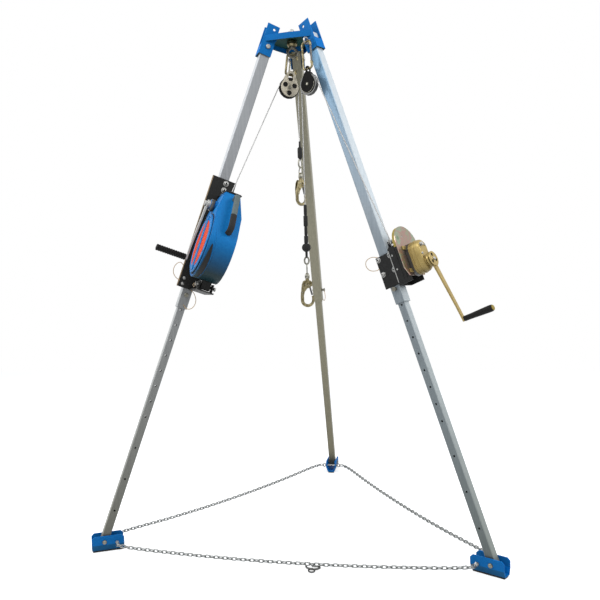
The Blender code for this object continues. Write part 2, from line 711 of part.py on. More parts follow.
SRL_CENTRE = (0.198, 1.452)          # housing disc's centre in t, u
SRL_RADIUS = 0.158
SRL_NECK_TOP = 1.710
SRL_NECK_HALF = 0.050
SRL_NECK_T = 0.193
SRL_IN, SRL_OUT = -0.088, 0.030
SRL_PIN = (0.195, 1.271)             # anchor pin in t, u
SRL_PIN_RADIUS = 0.006
SRL_CRANK_AXIS = (0.170, 1.640)
SRL_KNOB_AXIS = (0.190, 1.610)
SRL_BOSS_OUT = 0.050
SRL_SHAFT = 0.008
SRL_ARM = 0.268
SRL_CABLE = (-0.026, 0.190)          # cable's place in n, t where it leaves the housing
BRACKET_FACE = UPPER_TUBE / 2 + GAP


def up_leg(n=0.0, t=0.0, u=0.0):
    return at(n, t, u - LEG_LENGTH)


def leg_box(n, t, u):
    return moved(box((n[0], t[0], u[0]), (n[1], t[1], u[1])), up_leg())


def teardrop(radius, neck_half, top):
    """Housing outline in t, u: a disc that narrows to a flat-topped neck."""
    low = arc(SRL_CENTRE, radius, 160, 380, 21)
    return low + [(SRL_NECK_T + neck_half, top), (SRL_NECK_T - neck_half, top)]


def srl_bracket(black, frame):
    """Back plate along the leg with its two bolts, the shelf over the block, and its anchor pin below."""
    plate = leg_box((-0.064, 0.058), (BRACKET_FACE, BRACKET_FACE + 0.006), (1.244, 1.810))
    made = piece("srl_bracket", plate, black, frame)
    shelves = [leg_box((-0.065, 0.005), (0.029, 0.230), (1.716, 1.721))]
    shelves.append(leg_box((-0.085, -0.005), (0.029, 0.235), (1.2435, 1.2495)))
    fuse(made, "shelves", joined(shelves))
    lugs = [leg_box((low, low + 0.006), (0.175, 0.215), (1.2485, 1.288)) for low in (-0.080, -0.016)]
    fuse(made, "lugs", joined(lugs))
    t, u = SRL_PIN
    fuse(made, "pin", moved(rod(SRL_PIN_RADIUS, -0.088, -0.004, 12), up_leg(0, t, u) @ ALONG_X))
    domes = []
    for u in (1.791, 1.757):
        dome = turned([(0, 0.0), (0.010, 0.0), (0.009, 0.0055), (0.005, 0.0085), (0, 0.0095)], 12)
        domes.append(moved(dome, up_leg(-0.015, BRACKET_FACE + 0.005, u) @ ALONG_Y))
    fuse(made, "bolts", joined(domes))
    n, t = SRL_CABLE
    cut(made, "cable_hole", moved(drill(0.012, 1.70, 1.73), up_leg(n, t)))


def srl_housing(blue, frame):
    """Cast housing with its drive boss, the anchor eye below, and bores for the crank and the knob."""
    body = moved(prism(teardrop(SRL_RADIUS, SRL_NECK_HALF, SRL_NECK_TOP), SRL_IN, SRL_OUT), YZ_OUTLINE)
    made = piece("srl_housing", moved(body, up_leg()), blue, frame, smooth=35)
    top = SRL_NECK_TOP + 0.005
    front = [(0.045, 1.545), (0.045, 1.75), (0.006, 1.75), (0.006, top)]
    back = [(-0.103, 1.545), (-0.103, 1.75), (-0.060, 1.75), (-0.060, top)]
    wedges = [moved(prism(p, -0.32, -0.08), up_leg() @ XZ_OUTLINE) for p in (front, back)]
    cut(made, "slopes", joined(wedges))
    boss = rod(0.026, -0.02, SRL_BOSS_OUT, 16, chamfer=0.002)
    fuse(made, "boss", moved(boss, up_leg(0, *SRL_CRANK_AXIS) @ ALONG_X))
    t, u = SRL_PIN
    fuse(made, "anchor", leg_box((-0.066, -0.024), (t - 0.013, t + 0.013), (u - 0.016, u + 0.045)))
    cuts = [moved(drill(SRL_PIN_RADIUS + GAP, -0.1, 0.0), up_leg(0, t, u) @ ALONG_X)]
    cuts.append(moved(drill(SRL_SHAFT + GAP, 0.022, 0.06), up_leg(0, *SRL_CRANK_AXIS) @ ALONG_X))
    cuts.append(moved(drill(0.0045, -0.1, -0.062), up_leg(0, *SRL_KNOB_AXIS) @ ALONG_X))
    cut(made, "bores", joined(cuts))


def srl_cover(blue, frame):
    """Round side cover with its raised upright band."""
    cover = rod(0.142, SRL_OUT + GAP, 0.040, 26, chamfer=0.003)
    made = piece("srl_cover", moved(cover, up_leg(0, *SRL_CENTRE) @ ALONG_X), blue, frame, smooth=35)
    t, u = SRL_CENTRE
    fuse(made, "band", leg_box((0.038, 0.044), (t - 0.024, t + 0.018), (u - 0.128, u + 0.128)))


def srl_handle(grey, frame):
    """Bent carrying handle on the housing's outer edge."""
    t, u = SRL_CENTRE
    path = [(t + 0.045, u + 0.205), (t + 0.066, u + 0.236), (t + 0.078, u + 0.246), (t + 0.092, u + 0.244)]
    path += [(t + 0.101, u + 0.228), (t + 0.170, u + 0.100), (t + 0.172, u + 0.082)]
    path += [(t + 0.158, u + 0.070), (t + 0.125, u + 0.055)]
    bar = swept(path, 0.0095, 8, flat=1.45)
    turn = Matrix(((0, 1, 0, 0), (1, 0, 0, 0), (0, 0, 1, 0), (0, 0, 0, 1)))
    made = piece("srl_handle", moved(bar, up_leg(-0.040) @ turn), grey, frame, smooth=40)
    seat = teardrop(SRL_RADIUS + GAP, SRL_NECK_HALF + GAP, SRL_NECK_TOP + GAP)
    cut(made, "seat", moved(prism(seat, -0.1, 0.05), up_leg() @ YZ_OUTLINE))


def crank(name, grip_name, frame, place, arm, hub, shaft, spindle, looks):
    """A crank whose axis is +X of its place and whose arm hangs down -Z, with a turning grip."""
    steel, black = looks
    hub_radius, hub_in, hub_out = hub
    profile = [(0, shaft[1]), (shaft[0], shaft[1]), (shaft[0], hub_in), (hub_radius, hub_in)]
    profile += [(hub_radius, hub_out - 0.002), (hub_radius - 0.002, hub_out), (0, hub_out)]
    made = piece(name, moved(turned(profile, 14), place @ ALONG_X), steel, frame, smooth=40)
    rise, grip_low, grip_high = spindle
    sections = []
    for drop, half, low, high in (
        (0.0, 0.014, hub_out - 0.006, hub_out + 0.004),
        (0.06, 0.012, hub_out - 0.002, hub_out + 0.006),
        (arm - 0.06, 0.009, rise - 0.010, rise - 0.002),
        (arm + 0.010, 0.009, rise - 0.008, rise),
    ):
        sections.append([(low, -half, -drop), (high, -half, -drop), (high, half, -drop), (low, half, -drop)])
    fuse(made, "arm", moved(lofted(sections), place))
    pin = rod(0.005, rise - 0.005, grip_high + 0.003, 12, chamfer=0.001)
    fuse(made, "spindle", moved(pin, place @ at(z=-arm) @ ALONG_X))
    bore = (0.005 + GAP) / math.cos(math.pi / 12)
    shape = [(bore, grip_low), (0.012, grip_low), (0.015, grip_low + 0.006), (0.0135, grip_low + 0.05)]
    shape += [(0.015, grip_high - 0.02), (0.013, grip_high), (bore, grip_high)]
    grip = moved(turned(shape, 12, closed=True), place @ at(z=-arm) @ ALONG_X)
    piece(grip_name, grip, black, frame, smooth=40)


def srl(blue, black, grey, steel, tan, frame):
    srl_bracket(black, frame)
    srl_housing(blue, frame)
    srl_cover(blue, frame)
    srl_handle(grey, frame)
    place = up_leg(0, *SRL_CRANK_AXIS)
    hub = (0.021, SRL_BOSS_OUT + GAP, 0.064)
    crank("srl_crank", "srl_crank_grip", frame, place, SRL_ARM, hub, (SRL_SHAFT, 0.024),
          (0.080, 0.0805, 0.222), (steel, black))
    profile = [(0, SRL_IN - 0.018), (0.010, SRL_IN - 0.018), (0.012, SRL_IN - 0.015), (0.012, SRL_IN - 0.002)]
    profile += [(0.0042, SRL_IN - 0.002), (0.0042, SRL_IN + 0.024), (0, SRL_IN + 0.024)]
    knob = moved(turned(profile, 12), up_leg(0, *SRL_KNOB_AXIS) @ ALONG_X)
    piece("srl_knob", knob, tan, frame, smooth=40)


# Hand winch on the right leg


WINCH_FACE = UPPER_TUBE / 2 + GAP
WINCH_PLATE = 0.006
WINCH_BOLT = 0.004
WINCH_BOLT_N = 0.0315
WINCH_BOLT_U = (1.296, 1.366)
DRUM_U = 1.345
CRANK_U = 1.272             # crank shaft, below the drum shaft
DRUM_CORE = 0.026
DRUM_FLANGE = 0.042
DRUM_LOW, DRUM_HIGH = 0.047, 0.1105
DRUM_RIM = 0.002
DRUM_SHAFT = 0.008
ROLLER = (-0.020, 1.420)             # roller's axis in t, u
ROLLER_RADIUS = 0.010
ROLLER_PIN = 0.004
BASE_LOW, BASE_HIGH = 0.040, 0.045
FRAME_PLATE = (0.1123, 0.1163)
CASE = (0.1166, 0.185)
WINCH_CRANK_TURN = math.radians(12)
WINCH_ARM = 0.290


def winch(black, zinc, gold, steel, grey, frame):
    """Clamp round the leg, channel bracket, frame plate, drum, gear case, crank and guide roller."""
    far = WINCH_FACE + WINCH_PLATE
    clamp = leg_box((-0.044, BASE_LOW - GAP), (-far, -WINCH_FACE), (1.228, 1.380))
    made = piece("winch_clamp", clamp, black, frame)
    bolts = []
    for u in WINCH_BOLT_U:
        for n in (-WINCH_BOLT_N, WINCH_BOLT_N):
            profile = [(0, -far - 0.006), (0.004, -far - 0.0055), (0.007, -far - 0.003), (0.0075, -far + 0.001)]
            profile += [(WINCH_BOLT, -far + 0.001), (WINCH_BOLT, far + GAP), (0.0075, far + GAP)]
            profile += [(0.0075, far + 0.006), (0, far + 0.006)]
            bolts.append(moved(turned(profile, 6), up_leg(n, 0, u) @ ALONG_Y))
    fuse(made, "bolts", joined(bolts))

    channel = [(BASE_LOW, -0.050), (0.112, -0.050), (0.112, -0.045), (BASE_HIGH, -0.045)]
    channel += [(BASE_HIGH, 0.045), (0.112, 0.045), (0.112, 0.050), (BASE_LOW, 0.050)]
    bracket = piece("winch_bracket", moved(prism(channel, 1.214, 1.432), up_leg()), black, frame)
    fuse(bracket, "plate", leg_box((-0.044, 0.042), (WINCH_FACE, far), (1.228, 1.380)))
    bores = []
    for u in WINCH_BOLT_U:
        for n in (-WINCH_BOLT_N, WINCH_BOLT_N):
            bores.append(moved(drill(WINCH_BOLT + GAP, 0.01, 0.06, 6), up_leg(n, 0, u) @ ALONG_Y))
    bores.append(moved(drill(DRUM_SHAFT + GAP, 0.03, 0.05), up_leg(0, 0, DRUM_U) @ ALONG_X))
    bores.append(moved(drill(ROLLER_PIN + GAP, 0.03, 0.05), up_leg(0, *ROLLER) @ ALONG_X))
    cut(bracket, "bores", joined(bores))

    low = CRANK_U - 0.037
    outline = arc((0, DRUM_U + 0.037), 0.088, 0, 180, 17)
    outline += [(-0.088, low + 0.035), (-0.060, low), (0.060, low), (0.088, low + 0.035)]
    plate = moved(prism(outline, *FRAME_PLATE), up_leg() @ YZ_OUTLINE)
    plate = piece("winch_frame", plate, zinc, frame, smooth=35)
    bores = [moved(drill(DRUM_SHAFT + GAP, 0.1, 0.13), up_leg(0, 0, DRUM_U) @ ALONG_X)]
    bores.append(moved(drill(ROLLER_PIN + GAP, 0.1, 0.13), up_leg(0, *ROLLER) @ ALONG_X))
    cut(plate, "bores", joined(bores))

    low, high = DRUM_LOW, DRUM_HIGH
    profile = [(0, BASE_LOW + 0.001), (DRUM_SHAFT, BASE_LOW + 0.001), (DRUM_SHAFT, low), (DRUM_FLANGE, low)]
    profile += [(DRUM_FLANGE, low + DRUM_RIM), (DRUM_CORE, low + DRUM_RIM), (DRUM_CORE, high - DRUM_RIM)]
    profile += [(DRUM_FLANGE, high - DRUM_RIM), (DRUM_FLANGE, high), (DRUM_SHAFT, high)]
    profile += [(DRUM_SHAFT, 0.124), (0, 0.124)]
    drum = moved(turned(profile, 14), up_leg(0, 0, DRUM_U) @ ALONG_X)
    piece("winch_drum", drum, steel, frame, smooth=35)

    profile = [(0, BASE_LOW + 0.001), (ROLLER_PIN, BASE_LOW + 0.001), (ROLLER_PIN, 0.0475)]
    profile += [(ROLLER_RADIUS, 0.0475), (ROLLER_RADIUS, 0.110), (ROLLER_PIN, 0.110)]
    profile += [(ROLLER_PIN, 0.1155), (0, 0.1155)]
    roller = moved(turned(profile, 10), up_leg(0, *ROLLER) @ ALONG_X)
    piece("winch_roller", roller, steel, frame, smooth=40)

    sections = []
    for n, radius in ((CASE[0], 0.0385), (CASE[1] - 0.012, 0.0385), (CASE[1] - 0.003, 0.034), (CASE[1], 0.030)):
        ring = arc((0, DRUM_U - 0.005), radius, 0, 180, 9) + arc((0, CRANK_U - 0.004), radius, 180, 360, 9)
        sections.append([(n, t, u) for t, u in ring])
    case = piece("winch_gear_case", moved(lofted(sections), up_leg()), gold, frame, smooth=35)
    feet = [leg_box((CASE[0], CASE[0] + 0.005), (-0.056, 0.056), (u - 0.009, u + 0.009))
            for u in (CRANK_U - 0.016, DRUM_U + 0.017)]
    fuse(case, "feet", joined(feet))
    bores = [moved(drill(DRUM_SHAFT + GAP, 0.11, 0.126), up_leg(0, 0, DRUM_U) @ ALONG_X)]
    bores.append(moved(drill(DRUM_SHAFT + GAP, 0.158, 0.19), up_leg(0, 0, CRANK_U) @ ALONG_X))
    cut(case, "bores", joined(bores))

    place = up_leg(0, 0, CRANK_U) @ Matrix.Rotation(WINCH_CRANK_TURN, 4, "X")
    crank("winch_crank", "winch_crank_grip", frame, place, WINCH_ARM, (0.032, 0.196, 0.206),
          (DRUM_SHAFT, 0.160), (0.222, 0.2225, 0.360), (gold, black))


# Lines: the two cables, their end fittings and their hooks


WOUND_RADIUS = DRUM_CORE + CABLE_RADIUS + 0.0005
WOUND_TURNS = 7
WOUND_EXIT = 0.060                # n at which the cable leaves the drum
LINE_1_TOP = 1.948                # top of each line's end fitting
LINE_2_TOP = 1.611
BOSS_HEIGHT = 0.021
SWIVEL_BORE = 0.006
SWIVEL_HEAD = 0.0074
HOOK_1_TOP = 1.763                # underside of each swivel
HOOK_2_TOP = 1.250
HOOK_1_TURN = math.radians(50)
HOOK_2_TURN = math.radians(13)


def over_sheave(matrix, approach, outward, end_z):
    """Points from a tangent over the top of a sheave and straight down, for a cable from approach.

    outward is 1 when the cable comes up on the +X side and leaves on the -X side.
    """
    centre = matrix.translation
    side = (matrix.to_3x3() @ Vector((1, 0, 0)) * outward)
    side = Vector((side.x, side.y, 0)).normalized()
    offset = approach - centre
    p, z = offset.dot(side), offset.z
    reach = math.hypot(p, z)
    start = math.atan2(z, p) + math.acos(CABLE_TURN / reach)
    tangent = centre + side * CABLE_TURN * math.cos(start) + Vector((0, 0, CABLE_TURN * math.sin(start)))
    away = side * math.sin(start) - Vector((0, 0, math.cos(start)))
    steps = 9
    points = []
    for i in range(steps + 1):
        turn = start + (math.pi - start) * i / steps
        points.append(centre + side * CABLE_TURN * math.cos(turn) + Vector((0, 0, CABLE_TURN * math.sin(turn))))
    foot_ = points[-1]
    for i in range(1, 5):
        points.append(foot_.lerp(Vector((foot_.x, foot_.y, end_z)), i / 4))
    return tangent, away, points


def line_foot(matrix, outward):
    """Where a line hangs below its sheave, in X and Y."""
    side = (matrix.to_3x3() @ Vector((1, 0, 0)) * outward)
    side = Vector((side.x, side.y, 0)).normalized()
    return matrix.translation - side * CABLE_TURN


def cable_srl(steel):
    frame = leg_matrix("left")
    n, t = SRL_CABLE
    outlet = frame @ Vector((n, t, SRL_NECK_TOP + GAP - LEG_LENGTH))
    along = (frame.to_3x3() @ Vector((0, 0, 1))).normalized()
    matrix = left_pulley_matrix()
    tangent, away, points = over_sheave(matrix, outlet + along * 0.02, -1, LINE_1_TOP + GAP)
    lead = tangent + away * 0.035
    stub = outlet + along * 0.010
    route = [stub] + [stub.lerp(lead, s) for s in (0.06, 0.3, 0.6, 0.92)]
    route += [lead, tangent + away * 0.012, tangent]
    return cord("cable_srl", [outlet] + smooth_route(route, 18)[:-1] + points, CABLE_RADIUS, steel, 1)


def cable_winch(steel):
    """The winch cable: wound on the drum from its flange, past the guide roller and over its pulley."""
    frame = leg_matrix("right")
    place = []
    flange = DRUM_HIGH - DRUM_RIM - GAP
    bend = 2 * CABLE_RADIUS
    end_turn = math.pi
    start_turn = end_turn + 2 * math.pi * WOUND_TURNS
    wound_low = flange - 2 * bend
    turn = start_turn + bend / WOUND_RADIUS
    place.append((flange, turn))
    place.append((flange - bend, turn))
    for i in range(1, 6):
        angle = math.radians(90) * i / 6
        place.append((flange - bend - bend * math.sin(angle), turn - bend * (1 - math.cos(angle)) / WOUND_RADIUS))
    count = 24 * WOUND_TURNS
    for i in range(count + 1):
        share = i / count
        place.append((wound_low + (WOUND_EXIT - wound_low) * share, start_turn + (end_turn - start_turn) * share))
    points = []
    for n, angle in place:
        t, u = WOUND_RADIUS * math.cos(angle), DRUM_U + WOUND_RADIUS * math.sin(angle)
        points.append(frame @ Vector((n, t, u - LEG_LENGTH)))
    pitch = (wound_low - WOUND_EXIT) / WOUND_TURNS
    slope = math.atan2(pitch, 2 * math.pi * WOUND_RADIUS)
    print("least gap of the winding to itself, mm:", round((pitch * math.cos(slope) - 2 * CABLE_RADIUS) * 1000, 3))

    beside = ROLLER[0] - ROLLER_RADIUS - CABLE_RADIUS - GAP
    guide = [frame @ Vector((WOUND_EXIT, beside, ROLLER[1] + du - LEG_LENGTH)) for du in (-0.008, 0.008)]
    matrix = right_pulley_matrix()
    tangent, away, over = over_sheave(matrix, guide[1], 1, LINE_2_TOP + GAP)
    wound_end = points[-1]
    points += [wound_end.lerp(guide[0], s) for s in (0.25, 0.5, 0.75)] + guide
    rise = [guide[1].lerp(tangent + away * 0.03, i / 6) for i in range(1, 7)]
    return cord("cable_winch", points + rise + [tangent + away * 0.012] + over, CABLE_RADIUS, steel, 1)


def line_end(name, profile, thimble, link, swivel, look, place):
    """A line's end fitting: turned body, thimble and swivel bail, with the bail's bored boss at the bottom."""
    body = piece(name, moved(turned(profile, 8), place), look, smooth=50)
    low, high = thimble
    stretch = Matrix.Diagonal((1, 1, (high - low) / 0.030, 1))
    ring = moved(eye_ring(0.0065, 0.00425, 10, 6), at(z=(low + high) / 2) @ stretch)
    fuse(body, "thimble", moved(ring, place))
    low, high = link
    stretch = Matrix.Diagonal((1, 1, (high - low) / 0.0282, 1))
    ring = moved(eye_ring(0.0085, 0.0028, 10, 6), at(z=(low + high) / 2) @ stretch)
    fuse(body, "bail", moved(ring, place @ Matrix.Rotation(math.radians(90), 4, "Z")))
    fuse(body, "boss", moved(rod(0.012, swivel, swivel + BOSS_HEIGHT, 10, chamfer=0.002), place))
    cut(body, "bore", moved(drill(SWIVEL_BORE + GAP, swivel - 0.01, swivel + BOSS_HEIGHT + 0.005), place))
    top = swivel + BOSS_HEIGHT
    cut(body, "seat", moved(drill(SWIVEL_HEAD + 0.0006, top - 0.0001, top + 0.0056), place))


def hook(name, place, steel, gate_look):
    """Snap hook with a turning shank. Its frame lies on the swivel's underside, its plane in XZ."""
    head = BOSS_HEIGHT + 0.0005
    profile = [(0, -0.016), (0.0075, -0.014), (0.0095, -0.009), (0.0095, -0.0008), (SWIVEL_BORE, -0.0008)]
    profile += [(SWIVEL_BORE, head), (SWIVEL_HEAD, head), (SWIVEL_HEAD, head + 0.0045), (0, head + 0.0045)]
    body = piece(name, moved(turned(profile, 12), place), steel, smooth=40)
    path = [(0, -0.010), (-0.003, -0.025), (-0.014, -0.042), (-0.0235, -0.062), (-0.0265, -0.085)]
    path += arc((0, -0.108), 0.0265, 172, 358, 12) + [(0.0262, -0.098), (0.024, -0.086)]
    radii = [0.0065, 0.0075, 0.008, 0.0085, 0.0085] + [0.0085] * 8 + [0.008, 0.0075, 0.007, 0.0065, 0.006, 0.0055]
    fuse(body, "bowl", moved(swept(path, radii, 6), place))
    lean = math.atan2(0.0125, 0.046)
    hinge = place @ at(0.010, 0, -0.037) @ Matrix.Rotation(math.pi - lean, 4, "Y")
    fork, pin = gate_fork(-0.020)
    fuse(body, "fork", moved(fork, hinge))
    fuse(body, "pin", moved(pin, hinge))
    gate(f"{name}_gate", 0.0495 + GATE_LOW - 0.002, gate_look, hinge)


def lines(steel, black, zinc):
    cable_srl(steel)
    cable_winch(steel)
    first = line_foot(left_pulley_matrix(), -1)
    place = at(first.x, first.y) @ Matrix.Rotation(HOOK_1_TURN, 4, "Z")
    profile = [(0, 1.855), (0.006, 1.855), (0.006, 1.861), (0.009, 1.862), (0.012, 1.867), (0.012, 1.913)]
    profile += [(0.010, 1.917), (0.0045, 1.919), (0.0045, LINE_1_TOP), (0, LINE_1_TOP)]
    line_end("cable_end_upper", profile, (1.811, 1.862), (1.769, 1.818), HOOK_1_TOP, black, place)
    hook("hook_upper", place @ at(z=HOOK_1_TOP), zinc, steel)
    second = line_foot(right_pulley_matrix(), 1)
    place = at(second.x, second.y) @ Matrix.Rotation(HOOK_2_TURN, 4, "Z")
    profile = [(0, 1.352), (0.006, 1.352), (0.006, 1.381)]
    profile += [(r, z) for r, z in arc((0, 1.402), 0.022, -65, 65, 5)]
    profile += [(0.009, 1.423), (0.009, 1.459), (0.007, 1.460), (0.007, 1.463), (0.009, 1.464), (0.009, 1.502)]
    profile += [(0.007, 1.503), (0.007, 1.506), (0.009, 1.507), (0.009, 1.558), (0.007, 1.559)]
    profile += [(0.007, 1.563), (0.009, 1.564), (0.009, LINE_2_TOP), (0, LINE_2_TOP)]
    line_end("cable_end_lower", profile, (1.316, 1.359), (1.256, 1.325), HOOK_2_TOP, black, place)
    hook("hook_lower", place @ at(z=HOOK_2_TOP), zinc, steel)


# Build


def build():
    for leftover in list(bpy.data.objects):
        bpy.data.objects.remove(leftover)
    blue = material("blue_paint", (0.02, 0.09, 0.32), 0.4, 0.0)
    metal = material("aluminium", (0.55, 0.58, 0.56), 0.4, 1.0)
    zinc = material("zinc_steel", (0.62, 0.62, 0.60), 0.35, 1.0)
    cable = material("cable_steel", (0.45, 0.45, 0.44), 0.4, 1.0)
    black = material("black_plastic", (0.02, 0.02, 0.022), 0.5, 0.0)
    rubber = material("black_rubber", (0.015, 0.015, 0.015), 0.9, 0.0)
    grey = material("grey_plastic", (0.22, 0.23, 0.25), 0.5, 0.0)
    tan = material("tan_plastic", (0.52, 0.40, 0.26), 0.6, 0.0)
    gold = material("gold_paint", (0.50, 0.36, 0.14), 0.45, 0.3)
    yellow_zinc = material("yellow_zinc", (0.62, 0.52, 0.30), 0.3, 1.0)

    head_frame(blue)
    head_eye_bolt(zinc)
    frames = {}
    for side in STATIONS:
        pivot_bolt(side, zinc)
        frames[side] = empty(f"leg_{side}", leg_matrix(side))
        leg(side, metal, zinc, black, frames[side])
        foot(side, blue, zinc, rubber)
    chain("chain_front", ("left", 1), ("right", -1), zinc)
    chain("chain_left", ("left", -1), ("rear", 1), zinc)
    chain("chain_right", ("rear", -1), ("right", 1), zinc)

    edge_on = Matrix.Rotation(math.radians(90), 4, "Z")
    carabiner("carabiner_left", LEFT_LINK_DROP, zinc, zinc, left_hang() @ edge_on)
    carabiner("carabiner_right", RIGHT_LINK_DROP, yellow_zinc, black, right_hang())
    pulley("pulley_left", left_pulley_matrix(), zinc, black, 0.0225, 0.0625, "window")
    pulley("pulley_right", right_pulley_matrix(), black, black, 0.018, 0.046, "ring")
    srl(blue, black, grey, zinc, tan, frames["left"])
    winch(black, yellow_zinc, gold, zinc, black, frames["right"])
    lines(cable, black, zinc)


build()
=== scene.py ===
# %% [markdown]
# # Confined space tripod
# Three telescopic legs of square aluminium tube meet in a blue welded head. A retrieval block sits on the
# left leg and a hand winch on the right one. Their cables run over two pulleys and hang inside the tripod.
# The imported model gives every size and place, and this file dresses it.

# %% Start
import json
import math

import bmesh
import bpy
import numpy as np
from mathutils import Matrix, Vector

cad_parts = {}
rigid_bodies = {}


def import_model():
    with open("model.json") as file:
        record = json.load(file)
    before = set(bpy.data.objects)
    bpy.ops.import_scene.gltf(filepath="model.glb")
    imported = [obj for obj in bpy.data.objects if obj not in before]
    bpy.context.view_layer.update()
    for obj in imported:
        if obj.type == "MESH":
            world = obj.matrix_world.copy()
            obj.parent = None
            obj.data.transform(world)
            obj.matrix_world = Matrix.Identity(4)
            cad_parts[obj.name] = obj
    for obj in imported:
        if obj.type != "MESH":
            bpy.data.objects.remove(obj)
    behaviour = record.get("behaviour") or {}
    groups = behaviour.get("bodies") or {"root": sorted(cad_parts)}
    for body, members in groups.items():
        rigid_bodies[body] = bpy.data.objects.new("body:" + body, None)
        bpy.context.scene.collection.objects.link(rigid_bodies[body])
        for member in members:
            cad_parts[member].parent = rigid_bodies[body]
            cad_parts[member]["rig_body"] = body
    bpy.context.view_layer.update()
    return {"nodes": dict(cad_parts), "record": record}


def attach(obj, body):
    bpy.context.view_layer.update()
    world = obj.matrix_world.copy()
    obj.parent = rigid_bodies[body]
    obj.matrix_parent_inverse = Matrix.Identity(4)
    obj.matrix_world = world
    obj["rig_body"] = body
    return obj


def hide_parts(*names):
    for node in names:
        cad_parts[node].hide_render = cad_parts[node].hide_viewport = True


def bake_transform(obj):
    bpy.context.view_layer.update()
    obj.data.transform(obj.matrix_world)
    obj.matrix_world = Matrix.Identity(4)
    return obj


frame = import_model()

# %% [markdown]
# ## Camera
# The photograph was taken from a little over three metres away, at about the height of the hooks. The camera
# stands at that place and turns by three angles. The lens shift moves the picture sideways a little, because
# the tripod doesn't stand in the middle of the photograph.

# %% Camera
CAMERA_PLACE = Vector((0.634, -3.388, 1.213))
CAMERA_AZIMUTH = 0.2290      # radians, turned left from +Y
CAMERA_PITCH = -0.022401
CAMERA_ROLL = -0.03077
CAMERA_SENSOR = 36           # millimetres, as the lens
CAMERA_LENS = 40.5
CAMERA_SHIFT = (0.05, 0.0036)


def camera_turn():
    """The camera's axes as a matrix: sideways, up and backwards, each a column."""
    level = math.cos(CAMERA_PITCH)
    forward = Vector((-math.sin(CAMERA_AZIMUTH) * level, math.cos(CAMERA_AZIMUTH) * level,
                      math.sin(CAMERA_PITCH)))
    right = forward.cross(Vector((0, 0, 1))).normalized()
    up = right.cross(forward)
    c, s = math.cos(CAMERA_ROLL), math.sin(CAMERA_ROLL)
    rolled_right = right * c + up * s
    rolled_up = up * c - right * s
    return Matrix((rolled_right, rolled_up, -forward)).transposed().to_4x4()


camera_data = bpy.data.cameras.new("camera")
camera_data.sensor_width = CAMERA_SENSOR
camera_data.lens = CAMERA_LENS
camera_data.shift_x, camera_data.shift_y = CAMERA_SHIFT
camera = bpy.data.objects.new("camera", camera_data)
bpy.context.scene.collection.objects.link(camera)
camera.matrix_world = Matrix.Translation(CAMERA_PLACE) @ camera_turn()
bpy.context.scene.camera = camera
print("camera at", tuple(round(x, 3) for x in camera.location))

# %% [markdown]
# ## Floor and light
# The photograph has been cut out on white, so the floor and the world look white to the camera and to shiny
# metal, but send only plain soft light to the object. The lamps stand high to both sides, and painted shade
# on the legs' other faces adds to them, so the outer face of each leg is bright and the faces towards the
# middle stay grey.

# %% World
BACKDROP = (1.0, 1.0, 1.0, 1)
SKY = (0.90, 0.94, 1.0, 1)
SKY_STRENGTH = 0.45


def is_seen(tree):
    """1 where a camera, glossy or transmission ray meets the surface, else 0."""
    path = tree.nodes.new("ShaderNodeLightPath")
    one = tree.nodes.new("ShaderNodeMath")
    one.operation = "MAXIMUM"
    two = tree.nodes.new("ShaderNodeMath")
    two.operation = "MAXIMUM"
    tree.links.new(path.outputs["Is Camera Ray"], one.inputs[0])
    tree.links.new(path.outputs["Is Glossy Ray"], one.inputs[1])
    tree.links.new(one.outputs[0], two.inputs[0])
    tree.links.new(path.outputs["Is Transmission Ray"], two.inputs[1])
    return two.outputs[0]


world = bpy.data.worlds.new("white surround")
bpy.context.scene.world = world
world.use_nodes = True
tree = world.node_tree
tree.nodes.clear()
seen = tree.nodes.new("ShaderNodeBackground")
seen.inputs["Color"].default_value = BACKDROP
lit = tree.nodes.new("ShaderNodeBackground")
lit.inputs["Color"].default_value = SKY
lit.inputs["Strength"].default_value = SKY_STRENGTH
mix = tree.nodes.new("ShaderNodeMixShader")
output = tree.nodes.new("ShaderNodeOutputWorld")
tree.links.new(is_seen(tree), mix.inputs["Fac"])
tree.links.new(lit.outputs[0], mix.inputs[1])
tree.links.new(seen.outputs[0], mix.inputs[2])
tree.links.new(mix.outputs[0], output.inputs["Surface"])
print("world:", world.name)

# %% Floor
FLOOR_REACH = 6.0
FLOOR_DROP = 0.001              # below the pads, so that they never share its plane
FLOOR_GREY = (0.92, 0.92, 0.92, 1)
FLOOR_GLOW = 0.58

corners = [(x * FLOOR_REACH, y * FLOOR_REACH, 0) for x, y in ((-1, -1), (1, -1), (1, 1), (-1, 1))]
floor_mesh = bpy.data.meshes.new("floor")
floor_mesh.from_pydata(corners, [], [(0, 1, 2, 3)])
floor = bpy.data.objects.new("floor", floor_mesh)
bpy.context.scene.collection.objects.link(floor)
floor.location.z = -FLOOR_DROP
white = bpy.data.materials.new("white floor")
white.use_nodes = True
tree = white.node_tree
tree.nodes.clear()
paper = tree.nodes.new("ShaderNodeBsdfDiffuse")
paper.inputs["Color"].default_value = FLOOR_GREY
glow = tree.nodes.new("ShaderNodeEmission")
glow.inputs["Color"].default_value = BACKDROP
glow.inputs["Strength"].default_value = FLOOR_GLOW
both = tree.nodes.new("ShaderNodeAddShader")
mix = tree.nodes.new("ShaderNodeMixShader")
output = tree.nodes.new("ShaderNodeOutputMaterial")
tree.links.new(paper.outputs[0], both.inputs[0])
tree.links.new(glow.outputs[0], both.inputs[1])
tree.links.new(is_seen(tree), mix.inputs["Fac"])
tree.links.new(paper.outputs[0], mix.inputs[1])
tree.links.new(both.outputs[0], mix.inputs[2])
tree.links.new(mix.outputs[0], output.inputs["Surface"])
floor_mesh.materials.append(white)
print("floor:", 2 * FLOOR_REACH, "m wide")

# %% Lamps
LAMP_TARGET = (0, 0, 1.2)
LAMP_SIZE = 2.0


